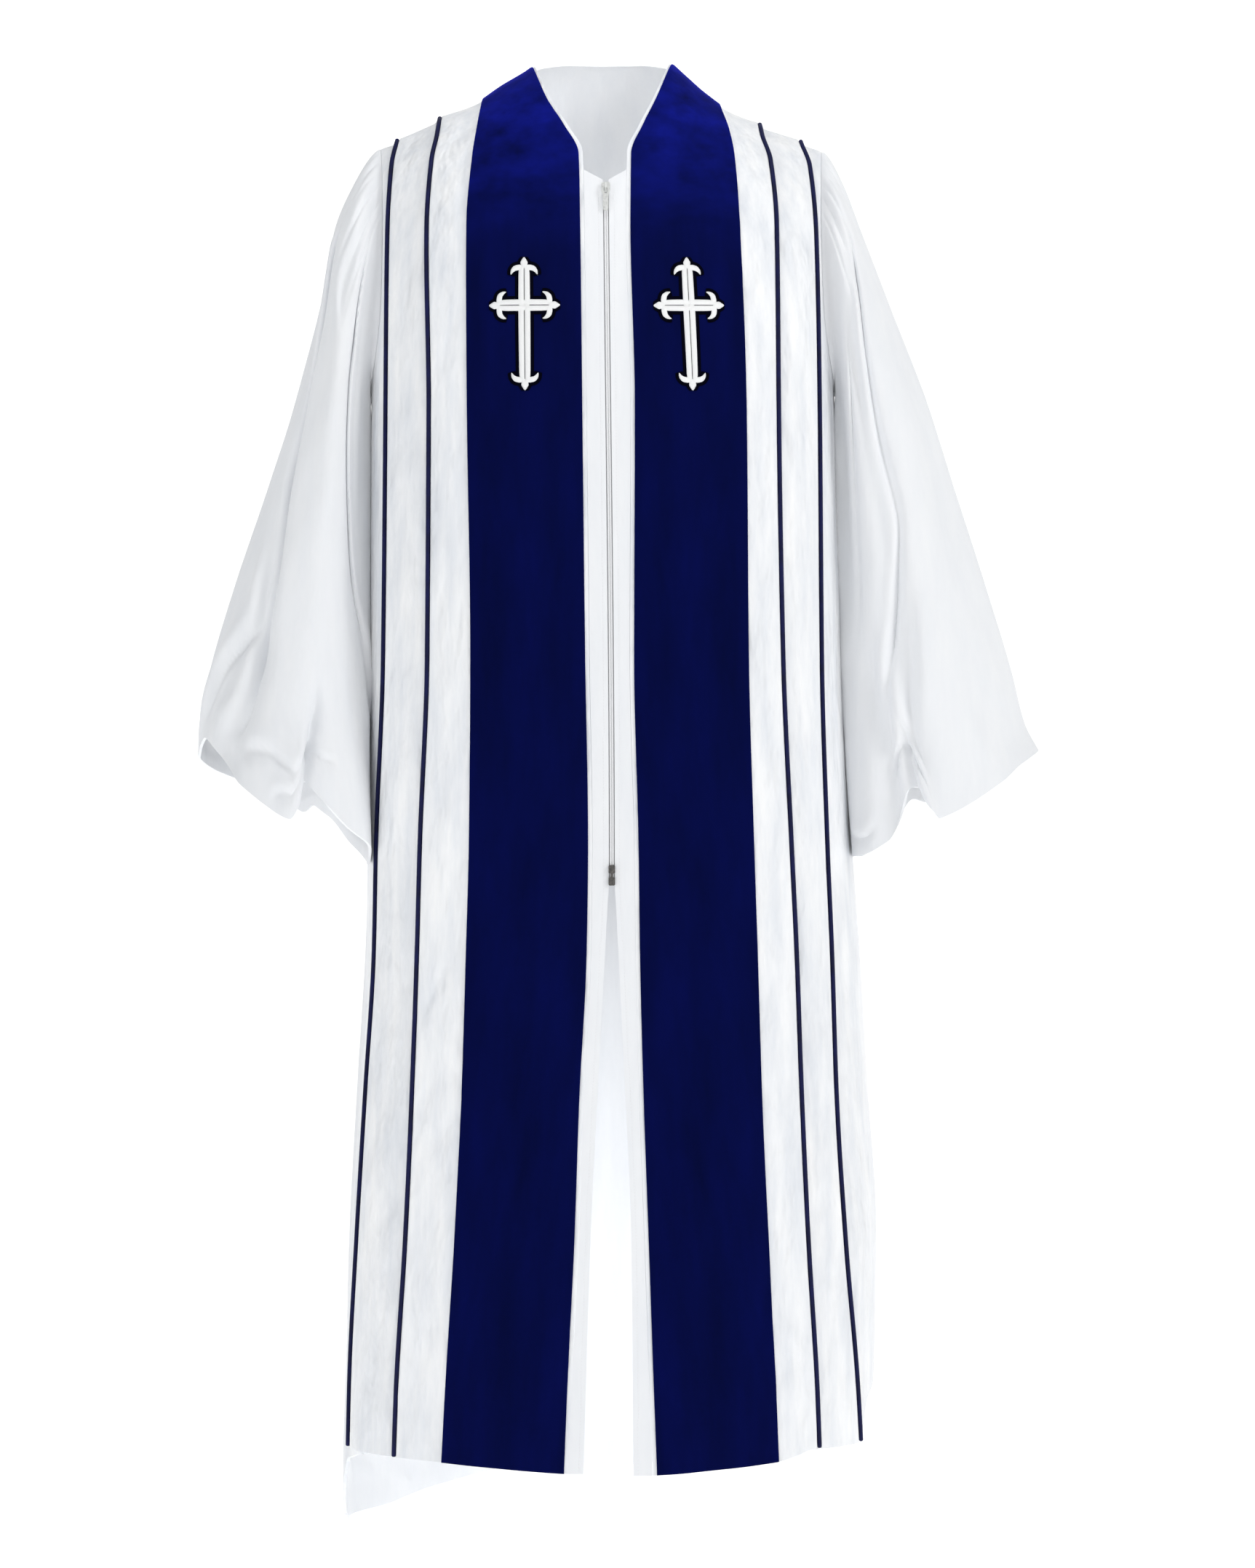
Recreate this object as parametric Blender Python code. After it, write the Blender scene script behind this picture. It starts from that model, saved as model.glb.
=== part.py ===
# Clergy robe, filled out and held at the shoulders: white cloth fronts with two piped flutes each,
# velvet bands with an applied cross, a front zip, a plain back and wide bell sleeves.
# Units are metres, +Z is up, the front faces -Y and +X is the wearer's left.
# The origin is between the two neck points, level with them.

import math

import bmesh
import bpy
import numpy as np
from mathutils import Matrix, Vector

# Driving sizes
CLOTH = 0.0014
VELVET = 0.0016
TAPE = 0.0010
GAP = 0.0003
MIDDLE_Y = 0.008
SECTION_POWER = 2.8
UNDERARM = 0.330
PIPING_RADIUS = 0.0021
PIPING_END = 0.0022
LAYER = 0.0022
PLEAT_RETURN = 0.016
EDGE_PAST_VELVET = 0.0015

# Heights of the three cloth levels over the body's own surface: side, flute 2, flute 1 with band
SIDE_LEVEL = 0.0
OUTER_FLUTE_LEVEL = 2 * LAYER
INNER_FLUTE_LEVEL = 4 * LAYER

# Columns of a front, from the centre edge outwards: name, the two lines it lies between, share of
# the way, shift outwards, and its level in layers over the body's own surface
FOLD_SHIFT = -(CLOTH / 2 + GAP + PIPING_RADIUS)
RETURN_SHIFT = FOLD_SHIFT - PLEAT_RETURN
FRONT_COLUMNS = (
    ("centre_edge", "edge", "edge", 0.0, -EDGE_PAST_VELVET, 4),
    ("band_1", "edge", "velvet", 0.25, 0.0, 4),
    ("band_2", "edge", "velvet", 0.50, 0.0, 4),
    ("band_3", "edge", "velvet", 0.75, 0.0, 4),
    ("band_edge", "velvet", "velvet", 0.0, 0.0, 4),
    ("flute_1_flat", "piping_1", "piping_1", 0.0, RETURN_SHIFT, 4),
    ("flute_1_fold", "piping_1", "piping_1", 0.0, FOLD_SHIFT, 4),
    ("flute_1_under", "piping_1", "piping_1", 0.0, FOLD_SHIFT, 3),
    ("flute_1_return", "piping_1", "piping_1", 0.0, RETURN_SHIFT, 3),
    ("flute_2_start", "piping_1", "piping_1", 0.0, RETURN_SHIFT, 2),
    ("piping_1_bed", "piping_1", "piping_1", 0.0, 0.0, 2),
    ("flute_2_flat", "piping_2", "piping_2", 0.0, RETURN_SHIFT, 2),
    ("flute_2_fold", "piping_2", "piping_2", 0.0, FOLD_SHIFT, 2),
    ("flute_2_under", "piping_2", "piping_2", 0.0, FOLD_SHIFT, 1),
    ("flute_2_return", "piping_2", "piping_2", 0.0, RETURN_SHIFT, 1),
    ("side_start", "piping_2", "piping_2", 0.0, RETURN_SHIFT, 0),
    ("piping_2_bed", "piping_2", "piping_2", 0.0, 0.0, 0),
)
SIDE_COLUMNS = 4

# Rows of every body panel, as drops below the neck points
DROPS = np.array([
    0.000, 0.012, 0.030, 0.052, 0.076, 0.101, 0.135, 0.175, 0.215, 0.255, 0.295, UNDERARM,
    0.390, 0.460, 0.540, 0.625, 0.713, 0.790, 0.860, 0.940, 1.034, 1.130, 1.230, 1.320, 1.395,
])
ARMHOLE_ROWS = int(np.searchsorted(DROPS, UNDERARM)) + 1

# Lines of the wearer's right front, as distances from the middle: a row for each drop
RIGHT_LINES = {
    "columns": ("drop", "edge", "velvet", "piping_1", "piping_2", "side"),
    "rows": (
        (0.000, 0.0740, 0.1180, 0.1660, 0.2040, 0.2360),
        (0.043, 0.0567, 0.1250, 0.1680, 0.2070, 0.2360),
        (0.073, 0.0382, 0.1290, 0.1700, 0.2120, 0.2360),
        (0.101, 0.0234, 0.1325, 0.1746, 0.2165, 0.2360),
        (0.172, 0.0216, 0.1373, 0.1780, 0.2190, 0.2365),
        (0.355, 0.0193, 0.1358, 0.1744, 0.2195, 0.2370),
        (0.605, 0.0163, 0.1319, 0.1755, 0.2215, 0.2385),
        (0.785, 0.0134, 0.1331, 0.1824, 0.2286, 0.2405),
        (0.893, 0.0148, 0.1358, 0.1851, 0.2307, 0.2415),
        (1.034, 0.0218, 0.1398, 0.1899, 0.2395, 0.2480),
        (1.176, 0.0267, 0.1467, 0.1961, 0.2478, 0.2565),
        (1.317, 0.0337, 0.1550, 0.2045, 0.2550, 0.2625),
        (1.395, 0.0370, 0.1590, 0.2070, 0.2565, 0.2650),
    ),
}

# Lines of the wearer's left front
LEFT_LINES = {
    "columns": ("drop", "edge", "velvet", "piping_1", "piping_2", "side"),
    "rows": (
        (0.000, 0.0665, 0.1080, 0.1540, 0.1930, 0.2280),
        (0.043, 0.0500, 0.1160, 0.1560, 0.1960, 0.2280),
        (0.073, 0.0355, 0.1250, 0.1590, 0.1990, 0.2280),
        (0.101, 0.0237, 0.1298, 0.1667, 0.2073, 0.2285),
        (0.172, 0.0230, 0.1342, 0.1718, 0.2125, 0.2300),
        (0.355, 0.0273, 0.1402, 0.1727, 0.2150, 0.2325),
        (0.605, 0.0266, 0.1421, 0.1767, 0.2164, 0.2400),
        (0.785, 0.0309, 0.1469, 0.1845, 0.2214, 0.2500),
        (0.893, 0.0323, 0.1503, 0.1894, 0.2257, 0.2575),
        (1.034, 0.0358, 0.1544, 0.1942, 0.2299, 0.2660),
        (1.176, 0.0408, 0.1606, 0.2005, 0.2385, 0.2745),
        (1.317, 0.0457, 0.1675, 0.2089, 0.2510, 0.2720),
        (1.395, 0.0488, 0.1705, 0.2118, 0.2560, 0.2680),
    ),
}

# Depth of the body in front of and behind its middle plane
DEPTHS = {
    "columns": ("drop", "front", "back"),
    "rows": (
        (0.00, 0.118, 0.108),
        (0.12, 0.122, 0.116),
        (0.25, 0.126, 0.122),
        (0.60, 0.138, 0.138),
        (0.90, 0.152, 0.156),
        (1.20, 0.168, 0.178),
        (1.40, 0.180, 0.195),
    ),
}

# Shoulder lines: reach is a share of the half width, heights are above the neck points. The
# wearer's left shoulder hangs lower.
RIGHT_SHOULDER = {
    "columns": ("reach", "front", "back", "neck_edge"),
    "rows": (
        (0.00, 0.020, 0.046, 0.0110),
        (0.15, 0.014, 0.040, 0.0105),
        (0.26, 0.001, 0.018, 0.0040),
        (0.32, -0.009, -0.009, -0.0090),
        (0.42, -0.023, -0.023, -0.0230),
        (0.55, -0.043, -0.043, -0.0430),
        (0.70, -0.055, -0.055, -0.0550),
        (0.87, -0.072, -0.072, -0.0720),
        (1.00, -0.082, -0.082, -0.0820),
    ),
}
LEFT_SHOULDER = {
    "columns": ("reach", "front", "back", "neck_edge"),
    "rows": (
        (0.00, 0.020, 0.046, 0.0110),
        (0.15, 0.014, 0.040, 0.0105),
        (0.26, 0.001, 0.018, 0.0040),
        (0.32, -0.011, -0.011, -0.0110),
        (0.42, -0.031, -0.031, -0.0310),
        (0.55, -0.051, -0.051, -0.0510),
        (0.70, -0.063, -0.063, -0.0630),
        (0.87, -0.075, -0.075, -0.0750),
        (1.00, -0.085, -0.085, -0.0850),
    ),
}
NECK_REACH = 0.32
ARM_TOP = 0.080

# How far the armhole's edge lies inside the half width
ARMHOLE = {
    "columns": ("drop", "front_inset", "back_inset"),
    "rows": (
        (0.080, 0.0080, 0.0080),
        (0.110, 0.0105, 0.0110),
        (0.180, 0.0130, 0.0150),
        (0.240, 0.0120, 0.0140),
        (0.290, 0.0070, 0.0080),
        (0.315, 0.0025, 0.0030),
        (UNDERARM, 0.0000, 0.0000),
    ),
}

# Rounding of the shoulders: fall is the length over which the surface turns down
SHOULDER_FALL = {"front": (0.095, 0.8), "back": (0.070, 0.7)}

# Hem of each panel as drops, for a front under its named columns, and for the back at places
# from the wearer's right side seam to the left one
HEMS = {
    "front_right": (
        ("centre_edge", 1.397), ("band_edge", 1.389), ("flute_1_fold", 1.387),
        ("flute_2_fold", 1.387), ("side_start", 1.390), ("piping_2_bed", 1.400), ("side_4", 1.470),
    ),
    "front_left": (
        ("centre_edge", 1.399), ("band_edge", 1.388), ("flute_1_fold", 1.378),
        ("flute_2_fold", 1.380), ("piping_2_bed", 1.378), ("side_1", 1.340), ("side_4", 1.322),
    ),
    "back": (
        (0.00, 1.471), (0.07, 1.486), (0.20, 1.482), (0.32, 1.460), (0.42, 1.455), (0.52, 1.455),
        (0.62, 1.440), (0.75, 1.385), (0.86, 1.290), (0.94, 1.225), (1.00, 1.208),
    ),
}
HEM_START = 0.860

# Soft folds of the back: place from right to left seam, half width, height, drop where it begins
BACK_FOLDS = (
    (0.090, 0.038, 0.011, 0.36),
    (0.218, 0.046, 0.019, 0.20),
    (0.352, 0.044, 0.017, 0.12),
    (0.497, 0.042, 0.020, 0.06),
    (0.640, 0.046, 0.018, 0.10),
    (0.783, 0.044, 0.019, 0.18),
    (0.910, 0.036, 0.010, 0.34),
)
BACK_COLUMNS = 14
NECK_COLUMNS = 3
BLEND_DROP = 0.30
SEAM_FADE = 0.055

# Sleeve rings: share of the length, outer end and inner end of each ring, half its depth, and how
# far its inner end swings forwards over the body's side
RIGHT_RINGS = {
    "columns": ("along", "outer_x", "outer_drop", "inner_x", "inner_drop", "half_depth", "yaw"),
    "rows": (
        (0.00, 0.2290, 0.082, 0.2390, 0.336, 0.058, 0.000),
        (0.06, 0.2420, 0.094, 0.2425, 0.360, 0.064, 0.000),
        (0.12, 0.2560, 0.117, 0.2436, 0.386, 0.068, 0.000),
        (0.20, 0.2740, 0.160, 0.2434, 0.420, 0.072, 0.000),
        (0.32, 0.2870, 0.232, 0.2428, 0.475, 0.076, 0.000),
        (0.46, 0.3110, 0.330, 0.2420, 0.545, 0.080, 0.004),
        (0.60, 0.3400, 0.425, 0.2414, 0.615, 0.083, 0.014),
        (0.75, 0.3750, 0.525, 0.2408, 0.690, 0.086, 0.032),
        (0.88, 0.4020, 0.612, 0.2388, 0.752, 0.089, 0.048),
        (0.96, 0.4120, 0.660, 0.2372, 0.788, 0.091, 0.056),
        (1.00, 0.4130, 0.682, 0.2366, 0.806, 0.092, 0.058),
    ),
}
LEFT_RINGS = {
    "columns": ("along", "outer_x", "outer_drop", "inner_x", "inner_drop", "half_depth", "yaw"),
    "rows": (
        (0.00, 0.2200, 0.086, 0.2345, 0.336, 0.058, 0.000),
        (0.06, 0.2310, 0.097, 0.2400, 0.360, 0.064, 0.000),
        (0.12, 0.2430, 0.119, 0.2402, 0.386, 0.068, 0.000),
        (0.20, 0.2590, 0.161, 0.2404, 0.420, 0.072, 0.000),
        (0.32, 0.2870, 0.233, 0.2408, 0.475, 0.076, 0.000),
        (0.46, 0.3240, 0.330, 0.2422, 0.545, 0.080, 0.000),
        (0.60, 0.3530, 0.425, 0.2444, 0.615, 0.083, 0.006),
        (0.75, 0.3850, 0.525, 0.2480, 0.690, 0.086, 0.014),
        (0.88, 0.4110, 0.612, 0.2512, 0.750, 0.089, 0.020),
        (0.96, 0.4250, 0.664, 0.2536, 0.784, 0.091, 0.022),
        (1.00, 0.4390, 0.690, 0.2548, 0.800, 0.092, 0.022),
    ),
}
SLEEVE_RINGS = 13
SLEEVE_FIRST_RINGS = (0.0, 0.035)
SLEEVE_EVEN_FROM = 0.09
SLEEVE_JOIN = 0.12
SLEEVE_LEAVE = 0.10
SLEEVE_SEAM = 0.0004
SLEEVE_TURN = (95.0, 145.0)
SLEEVE_FORWARD = 0.010

# Sleeve creases: turn is degrees from the outer line, through the front, at the start and the end
# of the crease; from and to are shares of the sleeve's length; depth below the surface is positive
CREASE_COLUMNS = ("from", "to", "turn_from", "turn_to", "width", "depth")
RIGHT_CREASES = (
    (0.28, 0.84, 14.0, 66.0, 9.0, 0.011),
    (0.72, 1.04, 66.0, 54.0, 9.0, 0.011),
    (0.70, 1.02, 60.0, 24.0, 9.0, 0.006),
    (0.02, 0.62, 98.0, 142.0, 13.0, 0.007),
    (0.72, 1.12, 113.0, 113.0, 8.0, 0.012),
    (0.00, 0.24, 24.0, 20.0, 9.0, 0.005),
    (0.00, 0.24, 62.0, 66.0, 9.0, 0.005),
    (0.00, 0.22, -30.0, -26.0, 9.0, 0.005),
    (0.00, 0.22, -68.0, -70.0, 9.0, 0.005),
    (0.35, 1.10, -58.0, -66.0, 13.0, 0.012),
    (0.30, 1.10, -118.0, -122.0, 14.0, 0.012),
)
LEFT_CREASES = (
    (0.06, 0.80, 92.0, 102.0, 13.0, 0.009),
    (0.10, 0.60, 142.0, 150.0, 11.0, 0.006),
    (0.58, 1.12, 134.0, 131.0, 9.0, 0.015),
    (0.50, 1.00, 116.0, 100.0, 11.0, 0.009),
    (0.82, 1.12, 113.0, 118.0, 8.0, 0.010),
    (0.00, 0.22, 30.0, 26.0, 9.0, 0.005),
    (0.00, 0.22, 62.0, 60.0, 9.0, 0.005),
    (0.00, 0.22, -30.0, -26.0, 9.0, 0.005),
    (0.00, 0.22, -68.0, -70.0, 9.0, 0.005),
    (0.35, 1.10, -58.0, -66.0, 13.0, 0.012),
    (0.30, 1.10, -118.0, -122.0, 14.0, 0.012),
)

# Sleeve hems: turn in degrees as above, extra drop
RIGHT_CUFF = (
    (-180.0, 0.000), (-140.0, -0.004), (-122.0, -0.015), (-109.0, -0.015), (-98.0, 0.002),
    (-70.0, 0.004), (-45.0, 0.018), (-25.0, 0.022), (0.0, 0.018), (14.0, 0.002), (30.0, -0.011),
    (46.0, -0.006), (66.0, 0.008), (88.0, 0.010), (99.0, 0.007), (105.0, -0.010), (113.0, -0.040),
    (124.0, -0.034), (139.0, -0.026), (165.0, -0.014), (180.0, 0.000),
)
LEFT_CUFF = (
    (-180.0, -0.002), (-150.0, 0.004), (-134.0, 0.004), (-125.0, -0.006), (-112.0, -0.022),
    (-98.0, -0.008), (-70.0, 0.002), (-40.0, 0.010), (0.0, 0.002), (42.0, 0.003), (58.0, 0.008),
    (80.0, 0.010), (98.0, 0.007), (105.0, -0.010), (113.0, -0.030), (122.0, -0.040), (130.0, -0.026),
    (138.0, 0.000), (152.0, 0.002), (180.0, -0.002),
)
CUFF_START = 0.55

# Zip: its middle line, and the edges of the slit below it
ZIP_LINE = ((0.118, 0.0009), (0.160, 0.0014), (0.811, 0.0073), (0.830, 0.0073))
SLIT = {
    "columns": ("drop", "right_edge", "left_edge"),
    "rows": (
        (0.826, 0.0042, 0.0104),
        (1.000, -0.0050, 0.0190),
        (1.168, -0.0132, 0.0262),
        (1.410, -0.0205, 0.0285),
    ),
}
PLACKET_TOP = {"outer": 0.1190, "inner": 0.1290}
PLACKET_DROPS = np.concatenate(([PLACKET_TOP["inner"]], DROPS[DROPS > PLACKET_TOP["inner"] + 0.004]))
CHAIN_HALF_WIDTH = 0.0023
CHAIN_THICKNESS = 0.0022
CHAIN_LEVEL = INNER_FLUTE_LEVEL + CLOTH / 2 - CHAIN_THICKNESS / 2
CHAIN_TOP = 0.1312
CHAIN_END = 0.8240
TAPE_LEVEL = CHAIN_LEVEL - CHAIN_THICKNESS / 2 - GAP - TAPE / 2
TAPE_WIDTH = 0.012
TAPE_TOP = 0.1315
TAPE_END = 0.826

# Slider, its bridge and the pull tab that hangs from it
SLIDER_DROP = 0.1375
SLIDER_LENGTH = 0.0110
SLIDER_TOP_WIDTH = 0.0088
SLIDER_END_WIDTH = 0.0066
SLIDER_THICKNESS = 0.0028
SLIDER_ROUNDING = {"top": 0.0022, "end": 0.0014}
SLIDER_LEVEL = INNER_FLUTE_LEVEL + CLOTH / 2 + GAP + SLIDER_THICKNESS / 2
BRIDGE_HALF_SPAN = 0.0026
BRIDGE_RADIUS = 0.0005
BRIDGE_CLEAR = 0.0025
BRIDGE_FOOT = 0.0008
BRIDGE_CORNER = 0.0006
TAB_AXIS_HEIGHT = 0.0013
TAB_THICKNESS = 0.0010
TAB_LENGTH = 0.0250
TAB_EYE_HALF_WIDTH = 0.0043
TAB_TAIL_HALF_WIDTH = 0.0027
TAB_HOLE_HALF_WIDTH = 0.0021
TAB_BAR_HALF = 0.00065
TAB_HOLE_END = 0.0072
TAB_EYE_WALL = 0.0013
TAB_EYE_ARC = (-48, 228)
TAB_NECK = 0.0140
TAB_TAIL_ROUNDING = 0.0025
TAB_LEAN = math.radians(5.0)

# Two-part box at the zip's lower end
BOX_DROP = 0.8160
BOX_WIDTH = 0.0064
BOX_WAIST_WIDTH = 0.0026
BOX_LENGTH = 0.0200
BOX_PART_LENGTH = 0.0082
BOX_THICKNESS = 0.0024
BOX_CORNER = 0.0010
BOX_SHOULDER = 0.0006
BOX_LEVEL = INNER_FLUTE_LEVEL + CLOTH / 2 + GAP + BOX_THICKNESS / 2

# Applied cross with three-pointed ends
CROSS_DROPS = {"right": 0.2535, "left": 0.2535}
CROSS_ACROSS = {"right": 0.500, "left": 0.515}
CROSS_LEAN = {"right": 0.000, "left": 0.016}
CROSS_ARM = {"up": 0.0480, "side": 0.0358, "down": 0.0845}
CROSS_BAR_HALF = 0.0062
CROSS_THICKNESS = 0.0012
CROSS_CLEAR = 0.0004

COLOURS = {
    "cloth": ((0.86, 0.88, 0.90), 0.75, 0.0),
    "velvet": ((0.012, 0.016, 0.13), 0.85, 0.0),
    "piping": ((0.010, 0.014, 0.11), 0.60, 0.0),
    "embroidery": ((0.88, 0.88, 0.87), 0.55, 0.0),
    "zip": ((0.80, 0.81, 0.82), 0.50, 0.0),
    "pale_metal": ((0.62, 0.63, 0.62), 0.35, 0.9),
    "dark_metal": ((0.10, 0.10, 0.10), 0.40, 0.9),
}
SIDES = {
    "right": (-1.0, RIGHT_LINES, RIGHT_SHOULDER),
    "left": (1.0, LEFT_LINES, LEFT_SHOULDER),
}


def smooth(at, places, values):
    """Monotone cubic curve through the given places and values, level with its ends outside."""
    places, values = np.asarray(places, float), np.asarray(values, float)
    at = np.clip(np.asarray(at, float), places[0], places[-1])
    step = np.diff(places)
    slope = np.diff(values) / step
    tangent = np.zeros(len(values))
    if len(values) > 2:
        same = slope[:-1] * slope[1:] > 0
        safe = np.where(same, slope[:-1] + slope[1:], 1.0)
        tangent[1:-1] = np.where(same, 2 * slope[:-1] * slope[1:] / safe, 0.0)
    tangent[0], tangent[-1] = slope[0], slope[-1]
    i = np.clip(np.searchsorted(places, at, side="right") - 1, 0, len(step) - 1)
    t = (at - places[i]) / step[i]
    h = step[i]
    return (
        (2 * t**3 - 3 * t**2 + 1) * values[i]
        + (t**3 - 2 * t**2 + t) * h * tangent[i]
        + (3 * t**2 - 2 * t**3) * values[i + 1]
        + (t**3 - t**2) * h * tangent[i + 1]
    )


def read(table, name, at):
    """Smooth value of one named column of a table."""
    columns = np.array(table["rows"]).T
    return smooth(at, columns[0], columns[table["columns"].index(name)])


def pairs(rows, at):
    """Smooth value of a table of two columns."""
    places, values = np.array(rows).T
    return smooth(at, places, values)


def ease(share):
    """Soft step from 0 to 1."""
    share = np.clip(share, 0.0, 1.0)
    return share * share * (3 - 2 * share)


def depth_at(side, face, x, drop):
    """Distance of the body's surface from its middle plane: a rounded section that shrinks to
    nothing at the shoulder line. x is the distance from the middle, drop is downwards."""
    _, lines, shoulder = SIDES[side]
    half = read(lines, "side", drop)
    reach = np.clip(np.abs(x) / half, 0.0, 1.0)
    section = (1 - reach**SECTION_POWER) ** (1 / SECTION_POWER)
    fall, power = SHOULDER_FALL[face]
    below = np.clip(read(shoulder, face, reach) + drop, 0.0, None)
    return read(DEPTHS, face, drop) * section * (1 - np.exp(-below / fall)) ** power


def surface(side, face, x, drop):
    """Points of the body's own surface, for distances from the middle and drops."""
    forward = -1.0 if face == "front" else 1.0
    y = MIDDLE_Y + forward * depth_at(side, face, x, drop)
    return np.stack([SIDES[side][0] * x, y, -drop + 0 * x], axis=-1)


def outward(side, face, x, drop):
    """Unit vectors square to the body's own surface, from its slopes along x and the drop."""
    sign, lines, _ = SIDES[side]
    small = 0.0008
    half = read(lines, "side", drop)
    x = np.minimum(x, half - 2 * small)
    along = depth_at(side, face, x + small, drop) - depth_at(side, face, x - small, drop)
    down = depth_at(side, face, x, drop + small) - depth_at(side, face, x, drop - small)
    forward = -1.0 if face == "front" else 1.0
    normal = np.stack(
        [-sign * along / (2 * small), forward + 0 * x, down / (2 * small)], axis=-1
    )
    return normal / np.linalg.norm(normal, axis=-1, keepdims=True)


def raised(side, face, line, drop, level):
    """Base distances from the middle that put a raised line at its wanted distance."""
    x = line.copy()
    for _ in range(4):
        x = line - level * np.abs(outward(side, face, x, drop)[..., 0])
    return x


def miters(grid, keep_flat_rows=()):
    """Vector at each grid point that moves the surface out by one unit, mitred at folds."""
    down = np.gradient(grid, axis=0)
    across = np.diff(grid, axis=1)
    down_mid = (down[:, 1:] + down[:, :-1]) / 2
    normal = np.cross(down_mid, across)
    normal /= np.linalg.norm(normal, axis=-1, keepdims=True)
    before = np.concatenate([normal[:, :1], normal], axis=1)
    after = np.concatenate([normal, normal[:, -1:]], axis=1)
    dot = np.sum(before * after, axis=-1, keepdims=True)
    vector = (before + after) / (1 + np.clip(dot, -0.5, 1.0))
    for row in keep_flat_rows:
        vector[row] = flat(vector[row])
    return vector


def flat(vector):
    """The same vectors laid into the plane of X and Z, as long as before."""
    size = np.linalg.norm(vector, axis=-1, keepdims=True)
    vector = vector * np.array([1.0, 0.0, 1.0])
    return vector * size / np.maximum(np.linalg.norm(vector, axis=-1, keepdims=True), 1e-9)


def row_drops(top, hem):
    """Drops of all rows for each column, from its top to its hem: level in between."""
    fade = 1 - np.clip(DROPS / UNDERARM, 0, 1)
    stretch = ease((DROPS - HEM_START) / (DROPS[-1] - HEM_START))
    return DROPS[:, None] + top[None, :] * fade[:, None] + (hem - DROPS[-1])[None, :] * stretch[:, None]


def shoulder_drop(side, face, x):
    """Drop of the shoulder line at a distance from the middle."""
    _, lines, shoulder = SIDES[side]
    return -read(shoulder, face, x / read(lines, "side", 0.0))


def ridge_lift(side, face, x):
    """Unit vectors square to the shoulder line, in the seam's plane of X and Z."""
    small = 0.001
    fall = shoulder_drop(side, face, x + small) - shoulder_drop(side, face, x - small)
    lift = np.stack([SIDES[side][0] * fall / (2 * small), 0 * x, 1 + 0 * x], axis=-1)
    return lift / np.linalg.norm(lift, axis=-1, keepdims=True)


def top_place(side, column):
    """Distance from the middle at which a raised column's base meets the shoulder line."""
    lines = SIDES[side][1]
    x = float(front_line(lines, column, 0.0))
    for _ in range(12):
        at = np.array([x])
        drop = float(shoulder_drop(side, "front", at)[0])
        lean = abs(float(ridge_lift(side, "front", at)[0, 0]))
        x = float(front_line(lines, column, drop)) - column[-1] * LAYER * lean
    return x


def front_line(lines, column, drop):
    """Distance from the middle of a named column of a front, at a drop."""
    _, first, second, share, shift, _ = column
    return between(lines, first, second, share, drop) + shift


def front_column(name):
    """Number of a named column; side_1 and on follow the named ones of the table."""
    names = [column[0] for column in FRONT_COLUMNS]
    names += ["side_" + str(k) for k in range(1, SIDE_COLUMNS + 1)]
    return names.index(name)


def front_hem(side, count):
    """Drop of the hem under each column, from the named columns that have one."""
    places, values = [], []
    for name, value in HEMS["front_" + side]:
        places.append(front_column(name))
        values.append(value)
    return smooth(np.arange(count), places, values)


def front_grid(side):
    """Points of a front: columns run outwards from the centre edge, over the band, around the
    two flutes with their returns, and to the armhole or the side seam."""
    lines = SIDES[side][1]
    count = len(FRONT_COLUMNS) + SIDE_COLUMNS
    last = len(FRONT_COLUMNS) - 1
    shares = np.arange(1, SIDE_COLUMNS + 1) / SIDE_COLUMNS
    starts = np.array([top_place(side, column) for column in FRONT_COLUMNS])
    arm_top = float(side_edge(lines, "front", np.array(ARM_TOP)))
    start_x = np.concatenate([starts, starts[-1] + (arm_top - starts[-1]) * shares])
    tops = shoulder_drop(side, "front", start_x)
    drops = row_drops(tops, front_hem(side, count))

    points = np.zeros((len(DROPS), count, 3))
    for j, column in enumerate(FRONT_COLUMNS):
        level = column[-1] * LAYER
        x = raised(side, "front", front_line(lines, column, drops[:, j]), drops[:, j], level)
        x[0] = start_x[j]
        lift = outward(side, "front", x, drops[:, j])
        lift[0] = ridge_lift(side, "front", x[:1])[0]
        points[:, j] = surface(side, "front", x, drops[:, j]) + level * lift
    bed = front_line(lines, FRONT_COLUMNS[last], drops[:, last])
    for k, share in enumerate(shares):
        d = drops[:, last + 1 + k]
        half = read(lines, "side", d)
        # Even steps around the bend of the section, from the piping's bed to the edge
        start = np.arcsin(np.clip(bed / half, 0, 1) ** (SECTION_POWER / 2))
        end = np.arcsin(np.clip(side_edge(lines, "front", d) / half, 0, 1) ** (SECTION_POWER / 2))
        x = half * np.sin(start + (end - start) * share) ** (2 / SECTION_POWER)
        points[:, last + 1 + k] = surface(side, "front", x, d)
    points[0, :, 1] = MIDDLE_Y - GAP / 2
    points[ARMHOLE_ROWS - 1:, -1, 1] = MIDDLE_Y - GAP / 2
    return points, drops


def between(lines, first, second, share, drop):
    """A line at a share of the way from one named line to another."""
    return (1 - share) * read(lines, first, drop) + share * read(lines, second, drop)


def side_edge(lines, face, drop):
    """Distance from the middle of the armhole's edge, and below it of the side seam."""
    inset = read(ARMHOLE, face + "_inset", drop)
    return read(lines, "side", drop) - np.where(drop < UNDERARM, inset, 0.0)


def back_reaches():
    """Shares of the half width at equal steps around the back, by the arc of a middle section."""
    angle = np.linspace(0, math.pi / 2, 400)
    x = 0.25 * np.sin(angle) ** (2 / SECTION_POWER)
    y = 0.15 * np.cos(angle) ** (2 / SECTION_POWER)
    arc = np.concatenate([[0], np.cumsum(np.hypot(np.diff(x), np.diff(y)))])
    return np.interp(np.linspace(0, arc[-1], BACK_COLUMNS + 1), arc, x / 0.25)


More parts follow.
